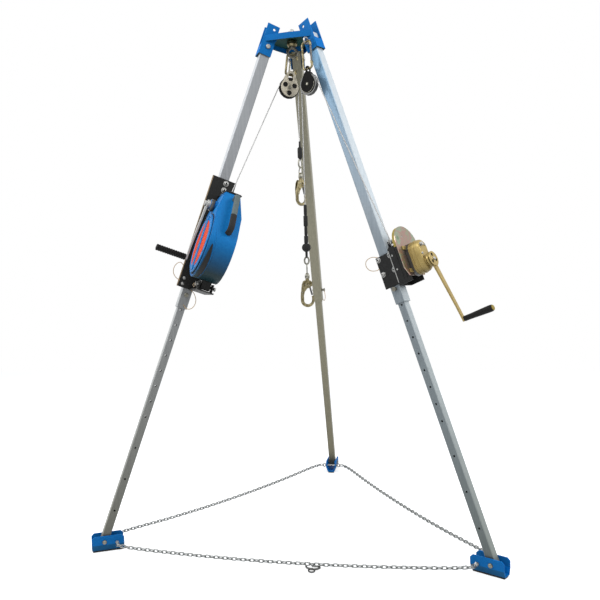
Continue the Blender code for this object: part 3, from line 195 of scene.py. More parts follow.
def area_lamp(name, place, power):
    """A square soft lamp that faces the middle of the tripod."""
    data = bpy.data.lights.new(name, "AREA")
    data.size = LAMP_SIZE
    data.energy = power
    lamp = bpy.data.objects.new(name, data)
    bpy.context.scene.collection.objects.link(lamp)
    aim = (Vector(LAMP_TARGET) - Vector(place)).to_track_quat("-Z", "Y").to_matrix().to_4x4()
    lamp.matrix_world = Matrix.Translation(place) @ aim


area_lamp("left lamp", (-3.6, -0.8, 3.4), 80)
area_lamp("right lamp", (3.6, -0.8, 3.4), 80)
area_lamp("front lamp", (-0.6, -2.9, 4.6), 75)
bpy.context.scene.view_settings.view_transform = "Standard"
print("stage: white world, floor and three lamps")

# %% [markdown]
# ## Grain, shared by every finish
# No real surface has one even colour. A node group puts out a grain from two noises of different size,
# stretched along one axis if asked. Each material then uses it for its colour, its roughness and its bump,
# with values of its own.

# %% Grain
GRAIN_LOW, GRAIN_HIGH = 0.3, 0.7     # nearly all of the grain lies between these
FINER = 4.3                         # the second noise is finer by this factor


def grain_group():
    """Two noise layers mixed into one value round 0.5."""
    group = bpy.data.node_groups.new("grain", "ShaderNodeTree")
    group.interface.new_socket("Vector", in_out="INPUT", socket_type="NodeSocketVector")
    group.interface.new_socket("Scale", in_out="INPUT", socket_type="NodeSocketFloat")
    group.interface.new_socket("Fine share", in_out="INPUT", socket_type="NodeSocketFloat")
    group.interface.new_socket("Grain", in_out="OUTPUT", socket_type="NodeSocketFloat")
    start = group.nodes.new("NodeGroupInput")
    end = group.nodes.new("NodeGroupOutput")
    coarse = group.nodes.new("ShaderNodeTexNoise")
    coarse.inputs["Detail"].default_value = 4
    fine = group.nodes.new("ShaderNodeTexNoise")
    fine.inputs["Detail"].default_value = 2
    times = group.nodes.new("ShaderNodeMath")
    times.operation = "MULTIPLY"
    times.inputs[1].default_value = FINER
    mix = group.nodes.new("ShaderNodeMix")
    group.links.new(start.outputs["Vector"], coarse.inputs["Vector"])
    group.links.new(start.outputs["Vector"], fine.inputs["Vector"])
    group.links.new(start.outputs["Scale"], coarse.inputs["Scale"])
    group.links.new(start.outputs["Scale"], times.inputs[0])
    group.links.new(times.outputs[0], fine.inputs["Scale"])
    group.links.new(start.outputs["Fine share"], mix.inputs["Factor"])
    group.links.new(coarse.outputs["Fac"], mix.inputs["A"])
    group.links.new(fine.outputs["Fac"], mix.inputs["B"])
    group.links.new(mix.outputs["Result"], end.inputs["Grain"])
    return group


GRAIN = grain_group()
print("grain group has", len(GRAIN.nodes), "nodes")


# %% Ramp and tint
def ramp(nodes, low, high, start=GRAIN_LOW, stop=GRAIN_HIGH):
    """A colour ramp between two colours over a part of the grain's range."""
    made = nodes.new("ShaderNodeValToRGB")
    made.color_ramp.elements[0].position = start
    made.color_ramp.elements[1].position = stop
    made.color_ramp.elements[0].color = (*low, 1)
    made.color_ramp.elements[1].color = (*high, 1)
    return made


def tinted(tree, colour, parts, span, tint):
    """The colour times a tint that fades to none while a sum of dot products runs over the span.

    parts pairs each vector with the direction that it is multiplied with.
    """
    total = tree.nodes.new("ShaderNodeMath")
    for i, (vector, direction) in enumerate(parts):
        facing = tree.nodes.new("ShaderNodeVectorMath")
        facing.operation = "DOT_PRODUCT"
        facing.inputs[1].default_value = direction
        tree.links.new(vector, facing.inputs[0])
        tree.links.new(facing.outputs["Value"], total.inputs[i])
    if len(parts) == 1:
        total.inputs[1].default_value = 0
    factor = tree.nodes.new("ShaderNodeMapRange")
    factor.inputs["From Min"].default_value = span[0]
    factor.inputs["From Max"].default_value = span[1]
    shade = ramp(tree.nodes, tint, (1, 1, 1), 0, 1)
    product = tree.nodes.new("ShaderNodeVectorMath")
    product.operation = "MULTIPLY"
    tree.links.new(total.outputs[0], factor.inputs["Value"])
    tree.links.new(factor.outputs["Result"], shade.inputs["Fac"])
    tree.links.new(colour, product.inputs[0])
    tree.links.new(shade.outputs["Color"], product.inputs[1])
    return product.outputs["Vector"]


print("ramp and tint ready")


# %% One finish
# The span of the normal over which painted shade on faces that look down fades out.
PAINTED_SHADE_SPAN = (-0.75, 0.25)          # from faces that look down to those that look a little up


def finish(name, low, high, rough, metallic=0.0, scale=40.0, fine=0.5, bump=0.0, stretch=(1, 1, 1),
           turn=(0, 0, 0), shine=0.5, under=None):
    """A surface whose colour runs from low to high with the grain, and whose roughness runs over rough.

    The colour of faces that look down is multiplied by the tint under, which is painted shade on them.
    """
    made = bpy.data.materials.new(name)
    made.use_nodes = True
    tree = made.node_tree
    shader = tree.nodes["Principled BSDF"]
    place = tree.nodes.new("ShaderNodeTexCoord")
    mapping = tree.nodes.new("ShaderNodeMapping")
    mapping.inputs["Scale"].default_value = stretch
    mapping.inputs["Rotation"].default_value = turn
    grain = tree.nodes.new("ShaderNodeGroup")
    grain.node_tree = GRAIN
    grain.inputs["Scale"].default_value = scale
    grain.inputs["Fine share"].default_value = fine
    colours = ramp(tree.nodes, low, high)
    roughness = tree.nodes.new("ShaderNodeMapRange")
    roughness.inputs["From Min"].default_value = GRAIN_LOW
    roughness.inputs["From Max"].default_value = GRAIN_HIGH
    roughness.inputs["To Min"].default_value = rough[0]
    roughness.inputs["To Max"].default_value = rough[1]
    tree.links.new(place.outputs["Object"], mapping.inputs["Vector"])
    tree.links.new(mapping.outputs["Vector"], grain.inputs["Vector"])
    tree.links.new(grain.outputs["Grain"], colours.inputs["Fac"])
    tree.links.new(grain.outputs["Grain"], roughness.inputs["Value"])
    colour = colours.outputs["Color"]
    # Painted shade: faces that look down are darkened by the tint under.
    if under:
        colour = tinted(tree, colour, [(place.outputs["Normal"], (0, 0, 1))], PAINTED_SHADE_SPAN, under)
    tree.links.new(colour, shader.inputs["Base Color"])
    tree.links.new(roughness.outputs["Result"], shader.inputs["Roughness"])
    shader.inputs["Metallic"].default_value = metallic
    shader.inputs["Specular IOR Level"].default_value = shine
    if bump:
        relief = tree.nodes.new("ShaderNodeBump")
        relief.inputs["Strength"].default_value = 0.5
        relief.inputs["Distance"].default_value = bump
        tree.links.new(grain.outputs["Grain"], relief.inputs["Height"])
        tree.links.new(relief.outputs["Normal"], shader.inputs["Normal"])
    return made


print("finish ready, grain from", GRAIN_LOW, "to", GRAIN_HIGH)

# %% [markdown]
# ## Finishes
# Powder coat is smooth with a faint orange-peel, zinc plate is bright and grey, yellow passivated zinc
# drifts between gold, green and pink, and moulded plastic is matt. The tubes are drawn aluminium, so their
# grain is stretched along each leg.

# %% Plain finishes
LEG_TILT = math.radians(20.3)
STATIONS = {"left": 210, "right": 330, "rear": 90}

# under: painted shade on faces that look down, dark olive under the head.
powder_blue = finish("blue powder coat", (0.002, 0.128, 0.44), (0.004, 0.185, 0.57), (0.45, 0.6),
                     scale=220, bump=0.0002, shine=0.05, under=(6.0, 0.36, 0.09))
# under: painted shade on the casing's faces that look down.
casing_blue = finish("blue casing", (0.002, 0.140, 0.42), (0.006, 0.200, 0.53), (0.40, 0.52),
                     scale=90, bump=0.0001, shine=0.15, under=(2.2, 0.16, 0.07))
# under: painted shade on faces that look down.
zinc_plate = finish("zinc plate", (0.24, 0.24, 0.23), (0.50, 0.50, 0.48), (0.28, 0.5),
                    metallic=0.8, scale=90, under=(0.4, 0.4, 0.4))
dull_steel = finish("dull steel", (0.12, 0.115, 0.09), (0.26, 0.25, 0.21), (0.32, 0.5),
                    metallic=0.9, scale=80)
# under: painted shade on faces that look down.
bright_steel = finish("bright steel", (0.34, 0.34, 0.33), (0.60, 0.60, 0.58), (0.2, 0.36),
                      metallic=0.8, scale=60, under=(0.3, 0.3, 0.3))
black_paint = finish("black paint", (0.006, 0.006, 0.006), (0.018, 0.018, 0.017), (0.42, 0.6),
                     scale=150, bump=0.0001, shine=0.2)
black_plastic = finish("black plastic", (0.005, 0.005, 0.005), (0.014, 0.013, 0.012), (0.45, 0.6),
                       scale=200, bump=0.0001, shine=0.12)
black_rubber = finish("black rubber", (0.012, 0.012, 0.012), (0.028, 0.027, 0.026), (0.7, 0.9),
                      scale=160, bump=0.0002, shine=0.25)
grey_plastic = finish("grey plastic", (0.080, 0.105, 0.108), (0.120, 0.155, 0.152), (0.45, 0.6),
                      scale=60, shine=0.3)
tan_cord = finish("tan cord", (0.42, 0.27, 0.12), (0.62, 0.44, 0.24), (0.7, 0.9), scale=500, bump=0.0003)
tan_plastic = finish("tan plastic", (0.42, 0.31, 0.19), (0.56, 0.44, 0.30), (0.5, 0.65), scale=120)
# under: painted shade on the gear case's faces that look down.
gold_enamel = finish("gold enamel", (0.33, 0.235, 0.072), (0.46, 0.345, 0.125), (0.3, 0.45),
                     metallic=0.5, scale=30, bump=0.0001, under=(0.4, 0.4, 0.35))
print("plain finishes:", len(bpy.data.materials))


# %% Passivated zinc
def passivated(name, shades, rough, scale):
    """Metal whose colour drifts over several shades with the grain."""
    made = finish(name, shades[0], shades[-1], rough, metallic=0.9, scale=scale, fine=0.25)
    colours = next(node for node in made.node_tree.nodes if node.type == "VALTORGB").color_ramp
    for i, shade in enumerate(shades[1:-1], 1):
        share = i / (len(shades) - 1)
        added = colours.elements.new(GRAIN_LOW + (GRAIN_HIGH - GRAIN_LOW) * share)
        added.color = (*shade, 1)
    return made


line_zinc = passivated("line zinc", [(0.07, 0.07, 0.055), (0.22, 0.215, 0.18), (0.42, 0.41, 0.35)],
                       (0.25, 0.42), 90)
print("finishes now:", len(bpy.data.materials))


# %% Drawn aluminium
def leg_turn(side):
    """Euler angles that turn object coordinates into the leg's own frame."""
    turn = Matrix.Rotation(math.radians(STATIONS[side]), 3, "Z") @ Matrix.Rotation(-LEG_TILT, 3, "Y")
    return turn.inverted().to_euler()


# Painted light on the legs: painted shade on the faces beside the outer one and towards the foot, and a
# painted blue reflection of the head on the right leg's near face by the head.
SIDE_PAINTED_SHADE = {"left": (0.52, 0.52, 0.52), "right": (0.48, 0.50, 0.52), "rear": (0.66, 0.66, 0.66)}
FOOT_PAINTED_SHADE = {"left": (0.42, 0.40, 0.31), "right": (0.38, 0.38, 0.32), "rear": (0.72, 0.70, 0.64)}
PAINTED_BLUE_REFLECTION = (0.40, 0.72, 1.0)
SIDE_SPAN = (0.25, 0.8)             # the part of the normal that points outwards
FOOT_SPAN = (0.0, 1.6)              # metres above the floor
REFLECTION_SPAN = (-3.35, -2.55)         # from the near face by the head to faces that are lower or look away
GRAIN_DRAWN = 60                    # the grain is this many times longer along the leg


def extrusion(side, low, high):
    """Drawn aluminium: the grain is drawn out along the leg. Painted shade darkens the faces beside the outer
    one and the foot, so the outer face is brightest, and the right leg gets a painted blue reflection by the
    head.
    """
    made = finish(f"drawn aluminium {side}", low, high, (0.34, 0.5), metallic=0.35, scale=170, fine=0.4,
                  shine=0.3, stretch=(1, 1, 1 / GRAIN_DRAWN), turn=leg_turn(side))
    tree = made.node_tree
    place = next(node for node in tree.nodes if node.type == "TEX_COORD")
    base = tree.nodes["Principled BSDF"].inputs["Base Color"]
    outward = Vector((math.cos(LEG_TILT), 0, math.sin(LEG_TILT)))
    outward.rotate(Matrix.Rotation(math.radians(STATIONS[side]), 3, "Z"))
    station = math.radians(STATIONS[side])
    along_t = Vector((-math.sin(station), math.cos(station), 0))
    normal, position = place.outputs["Normal"], place.outputs["Object"]
    # Painted shade on the faces beside the outer one.
    colour = tinted(tree, base.links[0].from_socket, [(normal, outward)], SIDE_SPAN, SIDE_PAINTED_SHADE[side])
    # Painted shade, darker and warmer towards the foot.
    colour = tinted(tree, colour, [(position, (0, 0, 1))], FOOT_SPAN, FOOT_PAINTED_SHADE[side])
    # Painted reflection of the blue head on the right leg's near face.
    if side == "right":
        colour = tinted(tree, colour, [(position, (0, 0, -1)), (normal, along_t)], REFLECTION_SPAN, PAINTED_BLUE_REFLECTION)
    tree.links.new(colour, base)
    return made


# The legs are one aluminium: the right leg's bluer colours are a painted blue reflection, and the rear leg's
# darker olive colours are painted shade.
aluminium = {
    "left": extrusion("left", (0.46, 0.48, 0.50), (0.60, 0.62, 0.64)),
    "right": extrusion("right", (0.48, 0.54, 0.58), (0.62, 0.68, 0.72)),
    "rear": extrusion("rear", (0.31, 0.295, 0.215), (0.43, 0.405, 0.30)),
}
print("aluminium for", ", ".join(aluminium))

# %% [markdown]
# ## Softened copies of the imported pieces
# Cut and folded metal never has a knife edge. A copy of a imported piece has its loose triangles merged, its
# flat faces joined, and a narrow bevel put on its edges, and then it stands for that piece.

# %% Softened pieces
MERGE_DISTANCE = 0.00002
MERGE_ANGLE = math.radians(1)       # flatter edges than this are joined
SHARP_ANGLE = math.radians(28)      # edges sharper than this are bevelled


def softened(node, material, width, segments=2):
    """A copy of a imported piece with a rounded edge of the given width, or none for 0."""
    mesh = frame["nodes"][node].data.copy()
    mesh.name = f"{node}_soft"
    bm = bmesh.new()
    bm.from_mesh(mesh)
    bmesh.ops.remove_doubles(bm, verts=bm.verts, dist=MERGE_DISTANCE)
    bmesh.ops.dissolve_limit(bm, angle_limit=MERGE_ANGLE, verts=bm.verts, edges=bm.edges)
    bm.to_mesh(mesh)
    bm.free()
    mesh.materials.clear()
    mesh.materials.append(material)
    mesh.shade_smooth()
    mesh.set_sharp_from_angle(angle=SHARP_ANGLE)
    piece = bpy.data.objects.new(f"{node}_soft", mesh)
    bpy.context.scene.collection.objects.link(piece)
    if width:
        edge = piece.modifiers.new("edge", "BEVEL")
        edge.width = width
        edge.segments = segments
        edge.limit_method = "ANGLE"
        edge.angle_limit = SHARP_ANGLE
        edge.harden_normals = True
        edge.use_clamp_overlap = True
    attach(piece, frame["nodes"][node]["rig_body"])
    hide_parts(node)


def node_slot(node):
    """The record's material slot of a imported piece."""
    return next(part["material_slot"] for part in frame["record"]["subparts"] if part["node"] == node)


softened("head_frame", powder_blue, 0.0010)
for side in STATIONS:
    softened(f"upper_leg_{side}", aluminium[side], 0.0)
    softened(f"lower_leg_{side}", aluminium[side], 0.0)
    softened(f"foot_{side}", powder_blue, 0.0012)
    softened(f"foot_pad_{side}", black_rubber, 0.0015)
    softened(f"foot_bolt_{side}", dull_steel, 0.0005)
    softened(f"height_pin_{side}", dull_steel, 0.0004)
    softened(f"pivot_bolt_{side}", zinc_plate, 0.0005)
    softened(f"shackle_{side}", zinc_plate, 0.0)
softened("head_eye_bolt", dull_steel, 0.0006)

# %% [markdown]
# ## Frames to build in
# Most new pieces sit on a leg, so they are drawn in that leg's own frame: n points out of its outer face,
# t runs round the tripod and u up the leg from the foot's pivot.

# %% Leg frames
LEG_LENGTH = 2.512                  # head pivot to foot pivot
PIVOT_RADIUS = 0.1375
FOOT_PIVOT_HEIGHT = 0.048
PIVOT_HEIGHT = FOOT_PIVOT_HEIGHT + LEG_LENGTH * math.cos(LEG_TILT)


def shift(x=0.0, y=0.0, z=0.0):
    """A move by x, y and z."""
    return Matrix.Translation((x, y, z))


def leg_frame(side):
    """The leg's frame: turned to its station, moved to its head pivot and leaned inwards."""
    turn = Matrix.Rotation(math.radians(STATIONS[side]), 4, "Z")
    lean = Matrix.Rotation(-LEG_TILT, 4, "Y")
    return turn @ shift(PIVOT_RADIUS, 0, PIVOT_HEIGHT) @ lean @ shift(z=-LEG_LENGTH)


def leg_point(side, n, t, u):
    """The point at n, t and u of a leg, in the tripod's own axes."""
    return leg_frame(side) @ Vector((n, t, u))


SPIN_ALONG_X = Matrix.Rotation(math.radians(90), 4, "Y")
SPIN_ALONG_Y = Matrix.Rotation(math.radians(-90), 4, "X")
print("left foot turns round", tuple(round(x, 3) for x in leg_point("left", 0, 0, 0)))


# %% [markdown]
# ## Surfaces from arrays
# A sheet of points with rows and columns makes tubes, rings and domes alike. The rows are computed as whole
# arrays, the faces join each row to the next, and the ends are closed with one face each.

# %% Faces and pieces
WELD_DISTANCE = 0.000005
BEVEL_ANGLE = math.radians(30)      # edges sharper than this are bevelled


def grid_faces(rows, columns, round_rows=False):
    """Quads between rows of points. The columns close on themselves, and the rows too if asked."""
    r = np.arange(rows if round_rows else rows - 1)[:, None]
    c = np.arange(columns)[None, :]
    after_r, after_c = (r + 1) % rows, (c + 1) % columns
    quads = np.stack([r * columns + c, r * columns + after_c,
                      after_r * columns + after_c, after_r * columns + c], -1)
    return quads.reshape(-1, 4)


def new_piece(name, points, faces, material, body, slot, smooth=40.0, bevel=0.0, nodes=()):
    """A mesh from arrays, with its faces turned outwards, riding on a body."""
    mesh = bpy.data.meshes.new(name)
    mesh.from_pydata(np.asarray(points, float).tolist(), [], [list(map(int, f)) for f in faces])
    bm = bmesh.new()
    bm.from_mesh(mesh)
    bmesh.ops.remove_doubles(bm, verts=bm.verts, dist=WELD_DISTANCE)
    bmesh.ops.recalc_face_normals(bm, faces=bm.faces)
    bm.to_mesh(mesh)
    bm.free()
    mesh.materials.append(material)
    mesh.shade_smooth()
    mesh.set_sharp_from_angle(angle=math.radians(smooth))
    made = bpy.data.objects.new(name, mesh)
    bpy.context.scene.collection.objects.link(made)
    if bevel:
        edge = made.modifiers.new("edge", "BEVEL")
        edge.width = bevel
        edge.segments = 2
        edge.limit_method = "ANGLE"
        edge.angle_limit = BEVEL_ANGLE
        edge.harden_normals = True
    if body:
        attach(made, body)
    if nodes:
        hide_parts(*nodes)
    return made


def body_of(node):
    """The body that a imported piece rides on."""
    return frame["nodes"][node]["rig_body"]


print("packed pieces:", len(frame["nodes"]))


# %% Turned and swept surfaces
def placed(points, matrix):
    """The points carried by a 4 by 4 matrix."""
    m = np.array(matrix)
    return np.asarray(points) @ m[:3, :3].T + m[:3, 3]


def turned(profile, matrix, sides=32):
    """A profile of radius and height spun round Z: x = r cos a, y = r sin a. Both ends are closed."""
    profile = np.array(profile, float)
    angle = np.linspace(0, 2 * np.pi, sides, endpoint=False)
    x = profile[:, :1] * np.cos(angle)
    y = profile[:, :1] * np.sin(angle)
    z = np.broadcast_to(profile[:, 1:2], x.shape)
    faces = [list(f) for f in grid_faces(len(profile), sides)]
    faces += [list(range(sides)), [(len(profile) - 1) * sides + i for i in range(sides)]]
    return placed(np.stack([x, y, z], -1).reshape(-1, 3), matrix), faces


def swept(path, radius, across, sides=12, round_path=False):
    """A circle carried along a path: point = path + radius (cos a * side + sin a * up).

    across is a direction that the path never runs along. side stands at right angles to it and to the path.
    """
    path = np.asarray(path, float)
    ahead = np.roll(path, -1, 0) - np.roll(path, 1, 0) if round_path else np.gradient(path, axis=0)
    ahead /= np.linalg.norm(ahead, axis=1, keepdims=True)
    side = np.cross(ahead, np.asarray(across, float))
    side /= np.linalg.norm(side, axis=1, keepdims=True)
    up = np.cross(side, ahead)
    angle = np.linspace(0, 2 * np.pi, sides, endpoint=False)[None, :, None]
    thick = np.broadcast_to(np.asarray(radius, float), (len(path),))[:, None, None]
    points = path[:, None] + thick * (np.cos(angle) * side[:, None] + np.sin(angle) * up[:, None])
    faces = [list(f) for f in grid_faces(len(path), sides, round_path)]
    if not round_path:
        faces += [list(range(sides)), [(len(path) - 1) * sides + i for i in range(sides)]]
    return points.reshape(-1, 3), faces


def together(shells):
    """Several shells in one list of points and faces."""
    points, faces, start = [], [], 0
    for some, their_faces in shells:
        points.append(np.asarray(some))
        faces += [[start + i for i in f] for f in their_faces]
        start += len(some)
    return np.concatenate(points), faces


print("a ring of 8 by 4 points has", len(grid_faces(8, 4, True)), "faces")


# %% Lines
def distances(line):
    """How far along the line each of its points lies."""
    return np.concatenate([[0], np.cumsum(np.linalg.norm(np.diff(line, axis=0), axis=1))])


def read_off(line, along, want):
    """Points on the line at the wanted distances along it."""
    return np.stack([np.interp(want, along, line[:, k]) for k in range(3)], 1)


def smooth_line(route, step):
    """Hermite curves through the route's points, read off at even steps.

    On each stretch s runs from 0 to 1. The slope at a point runs from the point before it to the one after.
    """
    p = np.asarray(route, float)
    before = np.concatenate([p[:1], p[:-2]])
    after = np.concatenate([p[2:], p[-1:]])
    start, end = p[:-1], p[1:]
    span = np.linalg.norm(end - start, axis=1, keepdims=True)
    leave = (end - before) / np.linalg.norm(end - before, axis=1, keepdims=True) * span
    arrive = (after - start) / np.linalg.norm(after - start, axis=1, keepdims=True) * span
    s = np.linspace(0, 1, 20, endpoint=False)[None, :, None]
    fine = start[:, None] * (2 * s**3 - 3 * s**2 + 1) + leave[:, None] * (s**3 - 2 * s**2 + s)
    fine = fine + end[:, None] * (3 * s**2 - 2 * s**3) + arrive[:, None] * (s**3 - s**2)
    fine = np.concatenate([fine.reshape(-1, 3), p[-1:]])
    along = distances(fine)
    want = np.linspace(0, along[-1], max(2, round(along[-1] / step) + 1))
    return read_off(fine, along, want)


def line_length(line):
    """The sum of the line's steps."""
    return float(np.linalg.norm(np.diff(line, axis=0), axis=1).sum())


print("builders ready")

# %% [markdown]
# ## The two pulleys hang in place first
# Each line runs over a pulley that hangs on a carabiner, and both lean a little where their cable pulls them.
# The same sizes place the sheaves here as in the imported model.

# %% Where the pulleys hang
GAP = 0.0003                 # between pieces that touch
HEAD_PLATE_UP = 0.051        # head pivots up to the head plate's underside
EYE_DROP = 0.060             # head plate's underside down to the eye's centre
EYE_INNER = 0.016
EAR_OUTER = 0.0508 / 2 + 0.0021 + 0.005   # half a tube, its play and the bracket's side
PIVOT_EYE_OUT = EAR_OUTER + 0.024         # leg centre to the right pivot bolt's eye
PIVOT_EYE_INNER = 0.011
LINK_BAR = 0.0055            # radius of a carabiner's bar
LEFT_LINK_DROP = 0.1055      # a carabiner's top bar centre down to its bottom bar centre
RIGHT_LINK_DROP = 0.132
LEFT_RING_UP = 0.0662        # sheave's axle up to where the carabiner carries its frame
RIGHT_RING_UP = 0.0728
RIGHT_RING_INNER = 0.0105
SHEAVE_GROOVE = 0.045
CABLE_RADIUS = 0.0025
CABLE_TURN = SHEAVE_GROOVE + CABLE_RADIUS + 0.0006

EYE_BAR_Z = PIVOT_HEIGHT + HEAD_PLATE_UP - EYE_DROP - EYE_INNER + LINK_BAR + GAP
LEFT_DROP = LEFT_LINK_DROP + LEFT_RING_UP
RIGHT_DROP = RIGHT_LINK_DROP + RIGHT_RING_UP + RIGHT_RING_INNER - LINK_BAR - GAP
LEFT_SWING = math.atan2(0.0235, LEFT_DROP)       # sideways over down, as the cables pull
RIGHT_SWING = math.atan2(0.0125, RIGHT_DROP)

left_hang = shift(z=EYE_BAR_Z) @ Matrix.Rotation(math.radians(30), 4, "Z")
left_hang = left_hang @ Matrix.Rotation(LEFT_SWING, 4, "Y")
left_pulley = left_hang @ shift(z=-LEFT_DROP)
right_hang = Matrix.Rotation(math.radians(STATIONS["right"]), 4, "Z") @ shift(PIVOT_RADIUS, 0, PIVOT_HEIGHT)
right_hang = right_hang @ shift(0, -PIVOT_EYE_OUT, -PIVOT_EYE_INNER + LINK_BAR + GAP)
right_hang = right_hang @ Matrix.Rotation(-RIGHT_SWING, 4, "Y")
right_pulley = right_hang @ shift(z=-RIGHT_DROP)
for name, pulley in (("left", left_pulley), ("right", right_pulley)):
    print(name, "sheave at", tuple(round(x, 4) for x in pulley.translation))


# %% Cables over their sheaves
def level_side(matrix, outward):
    """The sheave's own X axis, laid level, towards the side on which the cable hangs."""
    side = matrix.to_3x3() @ Vector((outward, 0, 0))
    return Vector((side.x, side.y, 0)).normalized()


def over_sheave(matrix, approach, outward, end_z):
    """Over the sheave, point = centre + r (cos a * side + sin a * up), then straight down to end_z.

    The arc starts where the line from approach touches it. That point and the way back are returned too.
    """
    arc_points, drop_points = 28, 30
    centre = matrix.translation
    side = level_side(matrix, outward)
    offset = approach - centre
    out = offset.dot(side)
    start = math.atan2(offset.z, out) + math.acos(CABLE_TURN / math.hypot(out, offset.z))
    turn = np.linspace(start, math.pi, arc_points)[:, None]
    up = np.array((0.0, 0.0, 1.0))
    around = np.array(centre) + CABLE_TURN * (np.cos(turn) * np.array(side) + np.sin(turn) * up)
    foot = around[-1]
    down = foot + (np.array((foot[0], foot[1], end_z)) - foot) * np.linspace(0, 1, drop_points)[1:, None]
    away = np.array(side) * math.sin(start) - up * math.cos(start)
    return around[0], away, np.concatenate([around, down])


def cable(name, line, side, node):
    """A round cable along the line, whose sides are set by its leg's frame; it rides on no body.
    """
    across = leg_frame(side).to_3x3() @ Vector((1, 1, 0))
    points, faces = swept(line, CABLE_RADIUS, across, 10)
    made = new_piece(name, points, faces, rope_steel, None, "cable_steel", smooth=60, nodes=(node,))
    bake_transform(made)
    print(name, "is", round(line_length(line), 3), "m long")


print("cables turn at", round(CABLE_TURN, 4), "m round a sheave")

# %% [markdown]
# ## End fittings
# Each cable ends in a swaged sleeve with a rubber bumper, a thimble and a swivel bail. The bodies are turned
# from a profile. The thimble and the bail are rings of round bar, stretched along the line.

# %% Wire rope
def wire_rope():
    """Galvanised cable: the strands show as slanting ridges, from bands across a tilted axis."""
    made = finish("wire rope", (0.20, 0.20, 0.20), (0.50, 0.50, 0.49), (0.30, 0.50), metallic=0.9, scale=300)
    tree = made.node_tree
    shader = tree.nodes["Principled BSDF"]
    place = tree.nodes.new("ShaderNodeTexCoord")
    mapping = tree.nodes.new("ShaderNodeMapping")
    mapping.inputs["Rotation"].default_value = (0.0, math.radians(35), math.radians(20))
    bands = tree.nodes.new("ShaderNodeTexWave")
    bands.bands_direction = "Z"
    bands.inputs["Scale"].default_value = 130
    bands.inputs["Distortion"].default_value = 0.3
    relief = tree.nodes.new("ShaderNodeBump")
    relief.inputs["Strength"].default_value = 0.6
    relief.inputs["Distance"].default_value = 0.0006
    tree.links.new(place.outputs["Object"], mapping.inputs["Vector"])
    tree.links.new(mapping.outputs["Vector"], bands.inputs["Vector"])
    tree.links.new(bands.outputs["Fac"], relief.inputs["Height"])
    tree.links.new(relief.outputs["Normal"], shader.inputs["Normal"])
    return made


rope_steel = wire_rope()
print("finishes now:", len(bpy.data.materials))

# %% Parts of a line end
THIMBLE = (0.0065, 0.00425)     # inner radius across the line, and the bar's radius
BAIL = (0.0085, 0.0028)
SWIVEL_BORE = 0.0063


def foot_of(matrix, outward):
    """Where the line hangs below its sheave."""
    return matrix.translation - level_side(matrix, outward) * CABLE_TURN


def stretched_ring(low, high, inner, bar, place, turn):
    """A ring of round bar between two heights: x = middle cos a, z = mean height + tall sin a."""
    angle = np.linspace(0, 2 * np.pi, 40, endpoint=False)
    middle = inner + bar
    tall = (high - low) / 2 - bar
    path = np.stack([middle * np.cos(angle), 0 * angle, (low + high) / 2 + tall * np.sin(angle)], 1)
    points, faces = swept(path, bar, (0, 1, 0), 10, round_path=True)
    return placed(points, place @ Matrix.Rotation(turn, 4, "Z")), faces


def line_end(name, place, profile, thimble, bail, swivel, node):
    """Black body, thimble and bail of one cable end, in two pieces with their own finish."""
    body = new_piece(f"{name}_stop", *turned(profile, place), black_rubber, "head", "black_rubber", smooth=35)
    rings = [stretched_ring(*thimble, *THIMBLE, place, 0.0)]
    rings.append(stretched_ring(*bail, *BAIL, place, math.radians(90)))
    boss = [(SWIVEL_BORE, swivel), (0.011, swivel), (0.012, swivel + 0.002), (0.012, swivel + 0.013)]
    boss += [(0.0095, swivel + 0.020), (0.0082, swivel + 0.021), (0.0082, swivel + 0.0155)]
    boss += [(SWIVEL_BORE, swivel + 0.0154), (SWIVEL_BORE, swivel)]
    points, faces = turned(boss, place, 32)
    rings.append((points, faces[:-2]))
    new_piece(f"{name}_swivel", *together(rings), line_zinc, "head", "zinc_steel", smooth=45, nodes=(node,))
    return body


print("thimbles are", round(2 * sum(THIMBLE) + 2 * THIMBLE[1], 4), "m wide")

# %% The two line ends
UPPER_SWIVEL_Z = 1.763
LOWER_SWIVEL_Z = 1.250
UPPER_TURN = Matrix.Rotation(math.radians(50), 4, "Z")
LOWER_TURN = Matrix.Rotation(math.radians(13), 4, "Z")
BALL_RADIUS = 0.022
BALL_Z = 1.402
SLEEVES = ((1.424, 1.459, 0.0100), (1.464, 1.502, 0.0078), (1.507, 1.558, 0.0104), (1.564, 1.6108, 0.0080))

upper_foot = foot_of(left_pulley, -1)
upper_place = shift(upper_foot.x, upper_foot.y) @ UPPER_TURN
profile = [(0.0001, 1.855), (0.006, 1.8552), (0.0062, 1.861), (0.010, 1.8635), (0.012, 1.868),
           (0.0123, 1.890), (0.012, 1.912), (0.010, 1.9165), (0.0052, 1.919), (0.0046, 1.9475),
           (0.0027, 1.948)]
upper_end = line_end("upper_line", upper_place, profile, (1.811, 1.862), (1.769, 1.818), UPPER_SWIVEL_Z,
                     "cable_end_upper")

lower_foot = foot_of(right_pulley, 1)
lower_place = shift(lower_foot.x, lower_foot.y) @ LOWER_TURN
ball_angle = np.radians(np.linspace(-66, 66, 13))
ball = [(BALL_RADIUS * math.cos(a), BALL_Z + BALL_RADIUS * math.sin(a)) for a in ball_angle]
sleeves = []
for low, high, wide in SLEEVES:
    sleeves += [(0.0066, low - 0.001), (wide - 0.0004, low), (wide, low + 0.002), (wide, high - 0.002)]
    sleeves += [(wide - 0.0004, high), (0.0066, high + 0.001)]
profile = [(0.0001, 1.352), (0.006, 1.3522), (0.0062, 1.381)] + ball + sleeves[:-1] + [(0.0027, 1.611)]
lower_end = line_end("lower_line", lower_place, profile, (1.316, 1.359), (1.256, 1.325), LOWER_SWIVEL_Z,
                     "cable_end_lower")
for name, foot in (("upper", upper_foot), ("lower", lower_foot)):
    print(name, "line end hangs at", tuple(round(x, 3) for x in foot.xy))

